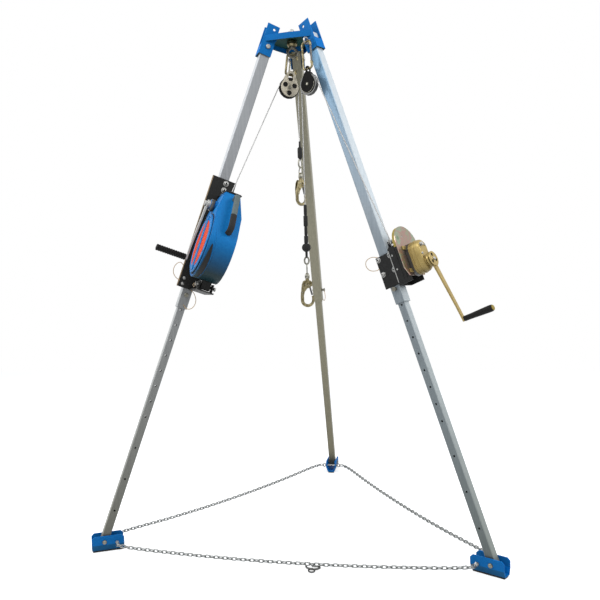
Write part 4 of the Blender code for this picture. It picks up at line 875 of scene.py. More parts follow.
# %% [markdown]
# ## The two cables
# The left cable leaves the top of the retrieval block, sags very little, and runs over the left sheave. The
# right one starts on the winch drum, where seven turns lie side by side, and passes the guide roller.

# %% Left cable
NECK_TOP = 1.710                # top of the block's neck
OUTLET_N, OUTLET_T = -0.026, 0.190
LEFT_CABLE_END = 1.870          # height inside its fitting

outlet = leg_point("left", OUTLET_N, OUTLET_T, NECK_TOP + GAP)
up_the_leg = (leg_frame("left").to_3x3() @ Vector((0, 0, 1))).normalized()
tangent, away, over = over_sheave(left_pulley, outlet + up_the_leg * 0.02, -1, LEFT_CABLE_END)
lead = Vector(tangent + away * 0.035)
stub = outlet + up_the_leg * 0.010
route = [stub] + [stub.lerp(lead, s) for s in (0.06, 0.3, 0.6, 0.92)]
route += [lead, tangent + away * 0.012, tangent]
line = np.concatenate([[outlet], smooth_line(route, 0.012)[:-1], over])
cable("left_cable", line, "left", "cable_srl")

# %% Right cable
DRUM_U = 1.345
DRUM_OUT = 0.1105               # n of the drum's outer end
DRUM_RIM = 0.002
WOUND_RADIUS = 0.026 + CABLE_RADIUS + 0.0005   # drum's core, half the cable and its play
WOUND_TURNS = 7
WOUND_EXIT = 0.060              # n at which the cable leaves the drum
TAIL_BEND = 0.010               # the cable's fixed end bends from along the drum to round it
ROLLER_T, ROLLER_U = -0.020, 1.420
ROLLER_RADIUS = 0.010
RIGHT_CABLE_END = 1.375

flange = DRUM_OUT - DRUM_RIM - GAP
wound_start = flange - 2 * TAIL_BEND
end_turn = math.pi
start_turn = end_turn + 2 * math.pi * WOUND_TURNS
tail_turn = start_turn + TAIL_BEND / WOUND_RADIUS
bend = np.radians(np.linspace(0, 90, 8)[1:-1])
tail_n = np.concatenate([[flange, flange - TAIL_BEND], flange - TAIL_BEND - TAIL_BEND * np.sin(bend)])
tail_a = np.concatenate([[tail_turn] * 2, tail_turn - TAIL_BEND * (1 - np.cos(bend)) / WOUND_RADIUS])
share = np.linspace(0, 1, 48 * WOUND_TURNS + 1)
n_all = np.concatenate([tail_n, wound_start + (WOUND_EXIT - wound_start) * share])
a_all = np.concatenate([tail_a, start_turn + (end_turn - start_turn) * share])
wound = np.stack([n_all, WOUND_RADIUS * np.cos(a_all), DRUM_U + WOUND_RADIUS * np.sin(a_all)], 1)
wound = placed(wound, leg_frame("right"))
beside_roller = ROLLER_T - ROLLER_RADIUS - CABLE_RADIUS - GAP
guide = [leg_point("right", WOUND_EXIT, beside_roller, ROLLER_U + du) for du in (-0.008, 0.008)]
tangent, away, over = over_sheave(right_pulley, guide[1], 1, RIGHT_CABLE_END)
rise = np.linspace(guide[1], tangent + away * 0.03, 60)
between = np.linspace(wound[-1], guide[0], 8)[1:]
line = np.concatenate([wound, between, rise, [tangent + away * 0.012], over])
cable("right_cable", line, "right", "cable_winch")

# %% [markdown]
# ## Spreader chains
# Three chains of welded links tie the feet together. A link is a stadium of round wire, and every second link
# is turned a quarter. All links of a chain are one array: the same stadium carried to each place on the line.

# %% Links and their line
LINK_PITCH = 0.0205
LINK_WIRE = 0.0028
LINK_WIDTH = 0.0190
CHAIN_HOLE_IN = 0.057           # foot pivot inwards to the chain holes
CHAIN_HOLE_UP = 0.042
SHACKLE_REACH = 0.046 + 0.006 + 2 * 0.0035 + GAP   # shackle's middle to its eye, the eye and its bar
CHAIN_SAG = 0.026
LOOK_ALONG = 0.010              # half the stretch of line that gives a link its direction


def stadium(count=14):
    """Centreline of a link along X: half circles, x = r cos a and y = r sin a, and two straight sides."""
    turn = np.linspace(0, 2 * np.pi, count, endpoint=False)
    bow = LINK_WIDTH / 2 - LINK_WIRE
    straight = LINK_PITCH / 2 + LINK_WIRE - bow
    return np.stack([bow * np.cos(turn) + straight * np.sign(np.cos(turn)), bow * np.sin(turn), 0 * turn], 1)


def chain_line(start, end):
    """The chain's centreline: out of each shackle, then a bow of depth 4 sag s (1 - s) between the feet."""
    ends = []
    shackle_radius = PIVOT_RADIUS + LEG_LENGTH * math.sin(LEG_TILT) - CHAIN_HOLE_IN
    for side, sign in (start, end):
        foot = Matrix.Rotation(math.radians(STATIONS[side]), 4, "Z") @ shift(shackle_radius, 0, CHAIN_HOLE_UP)
        eye = foot @ Vector((0, sign * SHACKLE_REACH, 0))
        further = foot @ Vector((0, sign * (SHACKLE_REACH + 0.05), 0))
        ends.append((eye, (further - eye).normalized()))
    (one, leave_one), (two, leave_two) = ends
    bow_start, bow_end = one + leave_one * 0.030, two + leave_two * 0.030
    route = [one + leave_one * 0.018]
    for s in (0.05, 0.2, 0.35, 0.5, 0.65, 0.8, 0.95):
        point = bow_start.lerp(bow_end, s)
        point.z -= CHAIN_SAG * 4 * s * (1 - s)
        route.append(point)
    route.append(two + leave_two * 0.018)
    return np.concatenate([[one], smooth_line(route, 0.01), [two]])


print("a link's centreline has", len(stadium()), "points")


# %% The three chains
def chain(name, start, end, node):
    """Links along a line: corner = centre + x ahead + y side + z up, every second one rolled a quarter."""
    line = chain_line(start, end)
    along = distances(line)
    count = int(round((along[-1] + 0.006) / LINK_PITCH))
    centres = np.linspace(-0.004, along[-1] + 0.004, count + 1)
    middle = np.clip((centres[1:] + centres[:-1]) / 2, 0, along[-1])
    place = read_off(line, along, middle)
    before = read_off(line, along, middle - LOOK_ALONG)
    after = read_off(line, along, middle + LOOK_ALONG)
    ahead = (after - before) / np.linalg.norm(after - before, axis=1, keepdims=True)
    side = np.cross((0.0, 0.0, 1.0), ahead)
    side /= np.linalg.norm(side, axis=1, keepdims=True)
    up = np.cross(ahead, side)
    roll = np.radians(np.where(np.arange(count) % 2 == 0, 38.0, 128.0))[:, None]
    side, up = side * np.cos(roll) + up * np.sin(roll), up * np.cos(roll) - side * np.sin(roll)
    link, faces = swept(stadium(), LINK_WIRE, (0, 0, 1), 5, round_path=True)
    points = place[:, None] + link[None, :, :1] * ahead[:, None]
    points = points + link[None, :, 1:2] * side[:, None] + link[None, :, 2:] * up[:, None]
    faces = (np.array(faces)[None] + (np.arange(count) * len(link))[:, None, None]).reshape(-1, 4)
    points = points.reshape(-1, 3)
    made = new_piece(name, points, faces, chain_zinc, "head", "zinc_steel", smooth=80, nodes=(node,))
    print(name, "has", count, "links")
    return line


chain_zinc = finish("chain zinc", (0.08, 0.09, 0.09), (0.42, 0.43, 0.42), (0.25, 0.45),
                    metallic=0.9, scale=190)
front = chain("front_chain", ("left", 1), ("right", -1), "chain_front")
chain("left_chain", ("left", -1), ("rear", 1), "chain_left")
chain("right_chain", ("rear", -1), ("right", 1), "chain_right")

# %% [markdown]
# ## Plates and bolts
# Cheeks, brackets and nuts are cut from plate. A flat outline with its holes is filled with triangles, a
# second copy of them stands at the plate's other face, and walls join the two along every outline.

# %% Outlines and plates
TURN_TO_TU = Matrix(((0, 0, 1, 0), (1, 0, 0, 0), (0, 1, 0, 0), (0, 0, 0, 1)))   # drawn in t and u, depth n
TURN_TO_NU = Matrix(((1, 0, 0, 0), (0, 0, 1, 0), (0, 1, 0, 0), (0, 0, 0, 1)))   # drawn in n and u, depth t
SPIN_BACK_Y = Matrix.Rotation(math.radians(90), 4, "X")


def circle(x, y, radius, count=28, start=0, stop=360):
    """Points x + r cos a, y + r sin a round a circle, or along an arc from start to stop in degrees."""
    angle = np.radians(np.linspace(start, stop, count, endpoint=abs(stop - start) < 360))
    return np.stack([x + radius * np.cos(angle), y + radius * np.sin(angle)], 1)


def hexagon(width, x=0.0, y=0.0):
    """The six corners of a nut of the given width over its flats."""
    return circle(x, y, width / math.sqrt(3), 6)


def three_holes(distance, radius, angles, count):
    """Round holes at the given angles round the middle."""
    return [circle(distance * math.cos(math.radians(a)), distance * math.sin(math.radians(a)), radius, count)
            for a in angles]


def plate(outline, holes, low, high, matrix):
    """A plate between two heights: the filled outline twice, and a wall along each loop."""
    loops = [np.asarray(loop, float) for loop in (outline, *holes)]
    starts = np.cumsum([0] + [len(loop) for loop in loops[:-1]])
    steps = [np.stack([np.arange(len(loop)), (np.arange(len(loop)) + 1) % len(loop)], 1) for loop in loops]
    edges = np.concatenate([start + step for start, step in zip(starts, steps)])
    flat = np.concatenate(loops)
    mesh = bpy.data.meshes.new("flat")
    mesh.from_pydata(np.pad(flat, ((0, 0), (0, 1))).tolist(), edges.tolist(), [])
    bm = bmesh.new()
    bm.from_mesh(mesh)
    bmesh.ops.triangle_fill(bm, use_beauty=True, use_dissolve=False, edges=bm.edges[:])
    bm.to_mesh(mesh)
    bm.free()
    corners = np.zeros(len(mesh.loops), dtype=np.int32)
    mesh.loops.foreach_get("vertex_index", corners)
    bpy.data.meshes.remove(mesh)
    face = corners.reshape(-1, 3)
    walls = np.concatenate([edges, edges[:, ::-1] + len(flat)], 1)
    points = np.concatenate([np.pad(flat, ((0, 0), (0, 1)), constant_values=h) for h in (low, high)])
    faces = face.tolist() + (face + len(flat)).tolist() + walls.tolist()
    return placed(points, matrix), faces


def block(low, high, matrix):
    """A box between two corners."""
    (x0, y0, z0), (x1, y1, z1) = low, high
    return plate([(x0, y0), (x1, y0), (x1, y1), (x0, y1)], [], z0, z1, matrix)


# %% Rings, bolts and lanyards
LANYARD_RADIUS = 0.0016


def collar(profile, matrix, sides=32):
    """A ring from a closed profile of radius and height."""
    points, faces = turned(list(profile) + [profile[0]], matrix, sides)
    return points, faces[:-2]


def bolt_head(matrix, radius, height):
    """A washer, a dome and a socket: the dome's radius is r cos a and its height h sin a."""
    angle = np.radians(np.linspace(0, 60, 7))
    washer = 0.0015
    top = washer + height
    profile = [(1.3 * radius, 0), (1.3 * radius, 0.0012), (1.04 * radius, washer)]
    dome = np.stack([radius * np.cos(angle), washer + height * np.sin(angle) / np.sin(angle[-1])], 1)
    profile += dome.tolist()
    profile += [(0.44 * radius, top), (0.40 * radius, top - 0.45 * height)]
    return turned(profile, matrix, 24)


def loop_cord(name, route, side, body):
    """A thin tan cord that loops between two points on the object."""
    line = smooth_line([leg_point(side, *p) for p in route], 0.004)
    points, faces = swept(line, LANYARD_RADIUS, (0.35, 0.8, 0.48), 8)
    made = new_piece(name, points, faces, tan_cord, body, "tan_plastic", smooth=60)
    print(name, "is", round(line_length(line), 3), "m long")


print("plates and bolts ready")

# %% [markdown]
# ## More finishes
# Yellow passivated zinc shows a thin film of colours, so its ramp runs over green, silver, pink and gold. The
# carabiners and hooks are a darker, worn version, and the orange panels on the block are printed film.

# %% Zinc films, pulley black, panel orange
iridescent = passivated(
    "yellow zinc film",
    [(0.13, 0.19, 0.10), (0.30, 0.36, 0.26), (0.36, 0.22, 0.19), (0.26, 0.30, 0.20), (0.42, 0.33, 0.09)],
    (0.22, 0.36), 13)
gold_film = finish("yellow zinc edge", (0.26, 0.195, 0.045), (0.42, 0.33, 0.10), (0.6, 0.75),
                   scale=60, shine=0.1)
pulley_black = finish("pulley black", (0.003, 0.003, 0.003), (0.010, 0.009, 0.008), (0.5, 0.65),
                      scale=120, shine=0.05)
olive_zinc = passivated(
    "worn yellow zinc",
    [(0.040, 0.034, 0.018), (0.125, 0.102, 0.048), (0.26, 0.225, 0.130), (0.085, 0.072, 0.036)],
    (0.25, 0.42), 70)
pale_zinc = passivated("pale zinc", [(0.32, 0.29, 0.22), (0.52, 0.48, 0.39), (0.42, 0.39, 0.31)],
                       (0.28, 0.42), 60)
dark_steel = finish("dark steel", (0.05, 0.05, 0.05), (0.12, 0.12, 0.115), (0.3, 0.5),
                    metallic=0.8, scale=90)
orange_film = finish("orange film", (0.60, 0.048, 0.006), (0.72, 0.066, 0.010), (0.5, 0.6),
                     scale=70, shine=0.1)
tan_edge = finish("bare tan edge", (0.22, 0.15, 0.075), (0.42, 0.32, 0.20), (0.45, 0.65),
                  scale=130, shine=0.3)
copper = finish("copper washer", (0.30, 0.12, 0.06), (0.45, 0.22, 0.12), (0.3, 0.45), metallic=0.9, scale=100)
print("finishes now:", len(bpy.data.materials))

# %% [markdown]
# ## Carabiners
# A carabiner is one round bar bent into a D, with a fork at its open end that holds the gate. The bar is
# swept along four arcs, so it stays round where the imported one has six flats.

# %% Fork and bar
FORK_IN = 0.0049                # gate's middle to the inside of each ear
FORK_EAR = 0.002
FORK_HALF = 0.0035
ROOT_HALF, ROOT_SIDE, ROOT_TOP = 0.0034, 0.0060, -0.0051


def fork(matrix, back):
    """Two ears, the root that joins them and the hinge pin, round a gate of 4.5 mm radius."""
    ears = [block((-FORK_HALF, low, back), (FORK_HALF, low + FORK_EAR, FORK_HALF), matrix)
            for low in (FORK_IN, -FORK_IN - FORK_EAR)]
    ears.append(block((-ROOT_HALF, -ROOT_SIDE, back), (ROOT_HALF, ROOT_SIDE, ROOT_TOP), matrix))
    pin = [(0.0022, -0.0078), (0.0026, -0.0074), (0.0026, 0.0074), (0.0022, 0.0078)]
    return together(ears + [turned(pin, matrix @ SPIN_ALONG_Y, 14)])


def bent_bar(path, radius, matrix):
    """A round bar in the XZ plane of the matrix, along a path of X and Z."""
    path = np.asarray(path)
    path = np.stack([path[:, 0], 0 * path[:, 0], path[:, 1]], 1)
    points, faces = swept(path, radius, (0, 1, 0), 14)
    return placed(points, matrix), faces


print("fork is", round(2 * (FORK_IN + FORK_EAR), 4), "m wide")

# %% The two carabiners
LINK_HALF = 0.026               # half the width of the bar's centreline
TOP_BEND, LOW_BEND = 0.017, 0.0115
OPEN_TOP = -0.0240              # where the bar ends above the gate
HINGE_UP = 0.0295               # bottom bar's centre up to the gate's hinge


def carabiner(node, drop, matrix):
    """The D's path in X and Z: two wide arcs on top, two tight ones below, open on the gate's side."""
    hinge = -drop + HINGE_UP
    path = np.concatenate([
        [(LINK_HALF, OPEN_TOP)],
        circle(LINK_HALF - TOP_BEND, -TOP_BEND, TOP_BEND, 12, 0, 90),
        circle(TOP_BEND - LINK_HALF, -TOP_BEND, TOP_BEND, 12, 90, 180),
        circle(LOW_BEND - LINK_HALF, LOW_BEND - drop, LOW_BEND, 12, 180, 270),
        circle(LINK_HALF - LOW_BEND, LOW_BEND - drop, LOW_BEND, 12, 270, 360 - 0.01),
        [(LINK_HALF, hinge - 0.0045)]])
    shells = [bent_bar(path, LINK_BAR, matrix), fork(matrix @ shift(LINK_HALF, 0, hinge), -0.010)]
    new_piece(f"{node}_bar", *together(shells), olive_zinc, body_of(node), node_slot(node), smooth=50,
              nodes=(node,))


carabiner("carabiner_left", LEFT_LINK_DROP, left_hang)
carabiner("carabiner_right", RIGHT_LINK_DROP, right_hang)
softened("carabiner_left_gate", dull_steel, 0.0)
softened("carabiner_right_gate", dark_steel, 0.0)
print("carabiners done")

# %% [markdown]
# ## Pulleys
# The left pulley has pale zinc cheeks with three round holes and a window for its carabiner. They are cut
# from plate, and an arch between them carries the load. The right one has dark closed cheeks with a
# polished rim.

# %% Left pulley
CHEEK_RADIUS, CHEEK_TOP_RADIUS, CHEEK_TOP = 0.0465, 0.0225, 0.0625
CHEEK_IN, CHEEK_THICK = 0.0105, 0.003
WINDOW_RADIUS, WINDOW_LOW, WINDOW_HIGH = 0.0125, 0.0445, 0.0595


def egg(radius, top_radius, top):
    """Two circles and the straight lines that touch them both."""
    lean = math.degrees(math.asin((radius - top_radius) / top))
    low_arc = circle(0, 0, radius, 44, 180 - lean, 360 + lean)
    return np.concatenate([low_arc, circle(0, top, top_radius, 22, lean, 180 - lean)])


window = np.concatenate([circle(0, WINDOW_HIGH, WINDOW_RADIUS, 14, 0, 180),
                         circle(0, WINDOW_LOW, WINDOW_RADIUS, 14, 180, 360 - 0.01)])
cheek_holes = three_holes(0.0270, 0.0126, (26, 154, 270), 22)
cheek_plane = left_pulley @ TURN_TO_NU
cheek = egg(CHEEK_RADIUS, CHEEK_TOP_RADIUS, CHEEK_TOP)
cheeks = [plate(cheek, [window, *cheek_holes], low, low + CHEEK_THICK, cheek_plane)
          for low in (-CHEEK_IN - CHEEK_THICK, CHEEK_IN)]
arch = np.concatenate([circle(0, CHEEK_TOP, 0.0222, 22, -8, 188), circle(0, 0.0597, 0.0127, 18, 188, -8)])
cheeks.append(plate(arch, [], -0.0107, 0.0107, cheek_plane))
left_frame = body_of("pulley_left_frame")
new_piece("left_cheeks", *together(cheeks), pale_zinc, left_frame, "zinc_steel", bevel=0.0006,
          nodes=("pulley_left_frame",))

axle = [(0.0045, -0.0178), (0.0088, -0.0172), (0.0095, -0.0160), (0.0095, -0.0138), (0.0058, -0.0137)]
axle += [(r, -z) for r, z in reversed(axle)]
new_piece("left_axle", *turned(axle, left_pulley @ SPIN_ALONG_Y, 24), dull_steel, left_frame, "zinc_steel")
softened("pulley_left_sheave", black_plastic, 0.0006)
print("left cheeks have", len(cheek), "corners and", len(cheek_holes), "holes")

# %% Right pulley
RIM_RADIUS, RIM_SIDE, RIM_BEAD = 0.0405, 0.0138, 0.0013

softened("pulley_right_frame", pulley_black, 0.0010)
softened("pulley_right_sheave", dark_steel, 0.0006)
cap = [(0.0072, 0.0130), (0.0072, 0.0168), (0.0060, 0.0178), (0.0030, 0.0180)]
trim = [turned(cap, right_pulley @ spin, 24) for spin in (SPIN_ALONG_Y, SPIN_BACK_Y)]
rim = circle(0, 0, RIM_RADIUS, 56, 178, 362)
for depth in (-RIM_SIDE, RIM_SIDE):
    path = np.stack([rim[:, 0], np.full(len(rim), depth), rim[:, 1]], 1)
    points, faces = swept(path, RIM_BEAD, (0, 1, 0), 8)
    trim.append((placed(points, right_pulley), faces))
new_piece("right_trim", *together(trim), dull_steel, body_of("pulley_right_frame"), "zinc_steel", smooth=50)
print("pulleys done")

# %% [markdown]
# ## Snap hooks
# Each hook is a forged bowl that swells from its shank, with riveted side plates over the gate's hinge. The
# gate is a round tongue. The bowl is one sweep whose radius changes along it.

# %% Shank and bowl
SHANK = [(0.002, -0.017), (0.0075, -0.014), (0.0095, -0.009), (0.0095, -0.0008), (0.0060, -0.0008),
         (0.0060, 0.0215), (0.0074, 0.0215), (0.0074, 0.0255), (0.0060, 0.0262)]
SPINE = [(0, -0.010), (-0.003, -0.025), (-0.014, -0.042), (-0.0235, -0.062), (-0.0265, -0.085)]
TIP = [(0.0262, -0.098), (0.024, -0.086)]
BOWL_RADIUS, BOWL_Z = 0.0265, -0.108
HINGE_X, HINGE_Z = 0.010, -0.037
GATE_LEAN = math.atan2(0.0125, 0.046)


def hook_bowl(node, place):
    """Shank, bowl and fork. The bowl's radius swells along its path and thins to the tip."""
    path = np.concatenate([SPINE, circle(0, BOWL_Z, BOWL_RADIUS, 22, 172, 358), TIP])
    share = np.linspace(0, 1, len(path))
    radii = np.interp(share, [0, 0.12, 0.5, 0.8, 1], [0.0065, 0.0082, 0.0085, 0.0072, 0.0050])
    line = smooth_line(np.stack([path[:, 0], 0 * path[:, 0], path[:, 1]], 1), 0.004)
    thick = np.interp(np.linspace(0, 1, len(line)), share, radii)
    points, faces = swept(line, thick, (0, 1, 0), 14)
    hinge = place @ shift(HINGE_X, 0, HINGE_Z) @ Matrix.Rotation(math.pi - GATE_LEAN, 4, "Y")
    shells = [turned(SHANK, place, 24), (placed(points, place), faces), fork(hinge, -0.020)]
    new_piece(f"{node}_bowl", *together(shells), olive_zinc, body_of(node), "zinc_steel", smooth=50,
              nodes=(node,))


print("gates lean by", round(math.degrees(GATE_LEAN), 1), "degrees")

# %% Side plates, rivets and lever
HOOK_SIDE = [(-0.015, -0.010), (0.014, -0.010), (0.0225, -0.018), (0.0235, -0.036), (0.013, -0.0455),
             (-0.002, -0.050), (-0.0140, -0.066), (-0.0195, -0.086), (-0.0305, -0.086), (-0.0310, -0.055),
             (-0.0275, -0.030), (-0.0215, -0.014)]
SIDE_THICK = 0.0014
SIDE_IN = 0.0084                # hook's middle to the inside of each side plate
RIVETS = ((-0.0105, -0.030), (-0.0255, -0.068), (-0.0253, -0.081), (HINGE_X, HINGE_Z))
RIVET = [(0.0034, 0.0075), (0.0034, 0.0102), (0.0024, 0.0114), (0.0006, 0.0118)]
LEVER_X, LEVER_Z = 0.016, -0.026


def hook_sides(node, place):
    """Two side plates cut to one outline, their rivets, and a lever that is a half ring."""
    flat = place @ TURN_TO_NU
    hollow = circle(0.001, -0.0275, 0.0042, 14)
    sides = [plate(HOOK_SIDE, [hollow], low, low + SIDE_THICK, flat)
             for low in (-SIDE_IN - SIDE_THICK, SIDE_IN)]
    new_piece(f"{node}_sides", *together(sides), olive_zinc, body_of(node), "zinc_steel", bevel=0.0003)
    shells = [turned(RIVET, place @ shift(x, 0, z) @ spin, 14)
              for x, z in RIVETS for spin in (SPIN_ALONG_Y, SPIN_BACK_Y)]
    lever = np.concatenate([circle(LEVER_X, LEVER_Z, 0.0095, 12, -20, 150),
                            circle(LEVER_X, LEVER_Z, 0.0060, 12, 150, -20)])
    shells.append(plate(lever, [], -0.0045, 0.0045, flat))
    new_piece(f"{node}_rivets", *together(shells), dull_steel, body_of(node), "zinc_steel", smooth=40)


print("side plates have", len(HOOK_SIDE), "corners and", len(RIVETS), "rivets")

# %% The two hooks
for node, foot, height, turn in (("hook_upper", upper_foot, UPPER_SWIVEL_Z, UPPER_TURN),
                                 ("hook_lower", lower_foot, LOWER_SWIVEL_Z, LOWER_TURN)):
    place = shift(foot.x, foot.y, height) @ turn
    hook_bowl(node, place)
    hook_sides(node, place)
    softened(f"{node}_gate", dark_steel, 0.0)
print("hooks done")

# %% [markdown]
# ## Retrieval block
# The blue casing and its round cover are moulded, so their edges are softer than cut metal. A lip runs round
# the casing's outer edge, a rubber bead seals the cover, and two plain orange panels stand beside the raised
# band.

# %% Casing, cover and bracket
LEFT = leg_frame("left")
BLOCK_FACE = LEFT @ TURN_TO_TU
BLOCK_SIDE = LEFT @ TURN_TO_NU
BLOCK_T, BLOCK_U = 0.198, 1.452
BLOCK_RADIUS = 0.158
CASING_FRONT = 0.030            # n of the casing's outer face
COVER_FRONT = 0.0400
CASING = body_of("srl_housing")

softened("srl_housing", casing_blue, 0.0050, segments=3)
softened("srl_cover", casing_blue, 0.0014)
softened("srl_handle", grey_plastic, 0.0010)
softened("srl_bracket", black_paint, 0.0008)
softened("srl_crank", bright_steel, 0.0008)
softened("srl_knob", tan_plastic, 0.0008)
print("casing rides on", CASING)


# %% Lip round the casing's outer edge
def teardrop(inset):
    """The casing's outline in t and u, moved inwards: a disc that narrows to a flat-topped neck."""
    low = circle(BLOCK_T, BLOCK_U, BLOCK_RADIUS - inset, 70, 160, 380)
    top = NECK_TOP - inset
    right = np.linspace(low[-1], (0.243 - inset, top), 16)[1:]
    left = np.linspace((0.143 + inset, top), low[0], 16)[:-1]
    return np.concatenate([low, right, left])


def casing_front(u):
    """The outer face's n: level over the disc, and sloping back by 39 mm over 170 mm along the neck."""
    return np.minimum(CASING_FRONT, 0.045 - 0.039 * (u - 1.545) / 0.170)


edge = teardrop(0.0062)
lip = np.stack([casing_front(edge[:, 1]) + 0.0004, edge[:, 0], edge[:, 1]], 1)
points, faces = swept(lip, 0.0030, (1, 0, 0), 8, round_path=True)
new_piece("casing_lip", placed(points, LEFT), faces, casing_blue, CASING, "casing_paint", smooth=60)
print("lip:", len(edge), "points round the casing")

# %% Ridge and groove on the casing's wall
low_edge = circle(BLOCK_T, BLOCK_U, BLOCK_RADIUS, 60, -84, 24)
along = np.linspace(0, 1, len(low_edge))
ridge = np.stack([-0.002 + 0.014 * (2 * along - 0.9)**2, low_edge[:, 0], low_edge[:, 1]], 1)
ridge_radius = 0.0026 * np.sin(np.pi * np.clip(along, 0.02, 0.98))**0.4
points, faces = swept(ridge, ridge_radius, (1, 0, 0), 8)
new_piece("casing_ridge", placed(points, LEFT), faces, casing_blue, CASING, "casing_paint", smooth=60)

# A black crescent on the casing's wall: painted shade of the groove between the lip and the ridge.
groove = circle(0, 0, 1.0, 40, -76, -2)
groove_half = 0.0115 * np.sin(np.pi * np.linspace(0.02, 0.98, len(groove)))**0.7
corner_n = 0.0135 + groove_half[:, None] * (-1, 1, 1, -1)
corner_r = np.broadcast_to((0.1555, 0.1555, 0.1588, 0.1588), corner_n.shape)
points = np.stack([corner_n, BLOCK_T + corner_r * groove[:, :1], BLOCK_U + corner_r * groove[:, 1:]], -1)
points = points.reshape(-1, 3)
faces = grid_faces(len(groove), 4).tolist() + [[0, 1, 2, 3], [len(points) - 4 + i for i in range(4)]]
new_piece("casing_groove_shade", placed(points, LEFT), faces, black_paint, CASING, "black_rubber", smooth=60)
print("groove is", round(2 * groove_half.max(), 4), "m wide")

# %% Bead and panels of the cover
BEAD_RADIUS = 0.1446

bead = circle(BLOCK_T, BLOCK_U, BEAD_RADIUS, 90)
bead = np.stack([np.full(len(bead), CASING_FRONT + 0.0005), bead[:, 0], bead[:, 1]], 1)
points, faces = swept(bead, 0.0023, (1, 0, 0), 8, round_path=True)
new_piece("cover_bead", placed(points, LEFT), faces, black_rubber, CASING, "black_rubber", smooth=60)

right_panel = circle(BLOCK_T + 0.004, BLOCK_U, 0.110, 44, -79.5, 79.5)
left_panel = circle(BLOCK_T, BLOCK_U, 0.112, 44, 105.5, 254.5)
panels = [plate(panel, [], COVER_FRONT, COVER_FRONT + 0.0012, BLOCK_FACE)
          for panel in (right_panel, left_panel)]
new_piece("orange_panels", *together(panels), orange_film, CASING, "tan_plastic", bevel=0.0003)
print("cover has", len(panels), "panels")

# %% Handle sleeve
HANDLE_N = -0.040
HANDLE_STRETCH = 1.42           # the sleeve is an oval, wider along n

grip = [(0, BLOCK_T + t, BLOCK_U + u)
        for t, u in ((0.143, 0.149), (0.170, 0.100), (0.172, 0.082), (0.158, 0.070), (0.138, 0.060))]
points, faces = swept(smooth_line(grip, 0.006), 0.0102, (1, 0, 0), 16)
points = points * (HANDLE_STRETCH, 1, 1) + (HANDLE_N, 0, 0)
new_piece("handle_sleeve", placed(points, LEFT), faces, black_rubber, CASING, "black_rubber", smooth=50)
print("sleeve:", len(points), "points")

# %% Screws and top cap
SCREW_RADIUS = 0.1325           # of the circle on which they sit
SCREW_ANGLES = (20, 65, 115, 160, 200, 245, 295, 340)

screw = [(0.0042, 0.0385), (0.0042, 0.0408), (0.0034, 0.0414), (0.0018, 0.0414), (0.0016, 0.0404)]
screws = []
for angle in SCREW_ANGLES:
    t = BLOCK_T + SCREW_RADIUS * math.cos(math.radians(angle))
    u = BLOCK_U + SCREW_RADIUS * math.sin(math.radians(angle))
    screws.append(turned(screw, LEFT @ shift(0, t, u) @ SPIN_ALONG_X, 14))
new_piece("cover_screws", *together(screws), dark_steel, CASING, "zinc_steel", smooth=40)

cap = [(-0.067, 0.139), (0.011, 0.139), (0.011, 0.247), (-0.067, 0.247)]
cap_hole = circle(OUTLET_N, OUTLET_T, 0.0105, 20)
cap = plate(cap, [cap_hole], NECK_TOP + 0.0002, NECK_TOP + 0.0057, LEFT)
new_piece("casing_cap", *cap, black_rubber, CASING, "black_rubber", bevel=0.0012)
print("casing done, with", len(screws), "screws")

# %% [markdown]
# The crank turns in a boss with a dark collar, and its grip has eleven ribs. The bracket's cut edge is bare,
# and two domed bolts hold it near its top. Below, a hex bolt with a washer goes through the block's anchor.

# %% Crank's collar and nut
CRANK_T, CRANK_U = 0.170, 1.640
CRANK_ARM = 0.268

crank_place = LEFT @ shift(0, CRANK_T, CRANK_U) @ SPIN_ALONG_X
ring = [(0.0258, 0.0330), (0.0290, 0.0330), (0.0294, 0.0345), (0.0294, 0.0475), (0.0284, 0.0488),
        (0.0258, 0.0488)]
new_piece("boss_collar", *collar(ring, crank_place), dark_steel, CASING, "black_plastic")
nut = [(0.0135, 0.0672), (0.0135, 0.0740), (0.0118, 0.0758), (0.0050, 0.0758), (0.0044, 0.0715)]
new_piece("crank_nut", *turned(nut, crank_place, 28), bright_steel, body_of("srl_crank"), "zinc_steel")
print("crank turns round", tuple(round(x, 3) for x in crank_place.translation))


# %% Ribbed grip
GRIP_BORE = 0.0054


def ribbed_grip(name, node, matrix, low, high, ribs, thin, thick):
    """A moulded grip: ribs of even pitch between two plain ends, round a bore."""
    pitch = (high - low - 0.020) / ribs
    start = low + 0.010 + pitch * np.arange(ribs)[:, None]
    height = start + pitch * np.array([0.08, 0.24, 0.76, 0.92])
    steps = np.stack(np.broadcast_arrays([thin, thick, thick, thin], height), -1)
    ends = [(GRIP_BORE, low), (thin - 0.001, low), (thick, low + 0.003), (thick, low + 0.008)]
    tail = [(thick, high - 0.008), (thick, high - 0.003), (thin - 0.001, high), (GRIP_BORE, high)]
    profile = np.concatenate([ends, steps.reshape(-1, 2), tail])
    new_piece(name, *collar(profile.tolist(), matrix), black_plastic, body_of(node), "black_plastic",
              smooth=35, nodes=(node,))


grip_place = LEFT @ shift(0, CRANK_T, CRANK_U - CRANK_ARM) @ SPIN_ALONG_X
ribbed_grip("block_grip", "srl_crank_grip", grip_place, 0.0805, 0.222, 11, 0.0132, 0.0150)
print("grip turns round", tuple(round(x, 3) for x in grip_place.translation))

# %% Bracket's edge, sleeve and bolts
BRACKET_LOW, BRACKET_HIGH = 1.2465, 1.8075
BRACKET_SIDE = 0.0316           # t of the bracket's near side
ANCHOR_U = 1.271

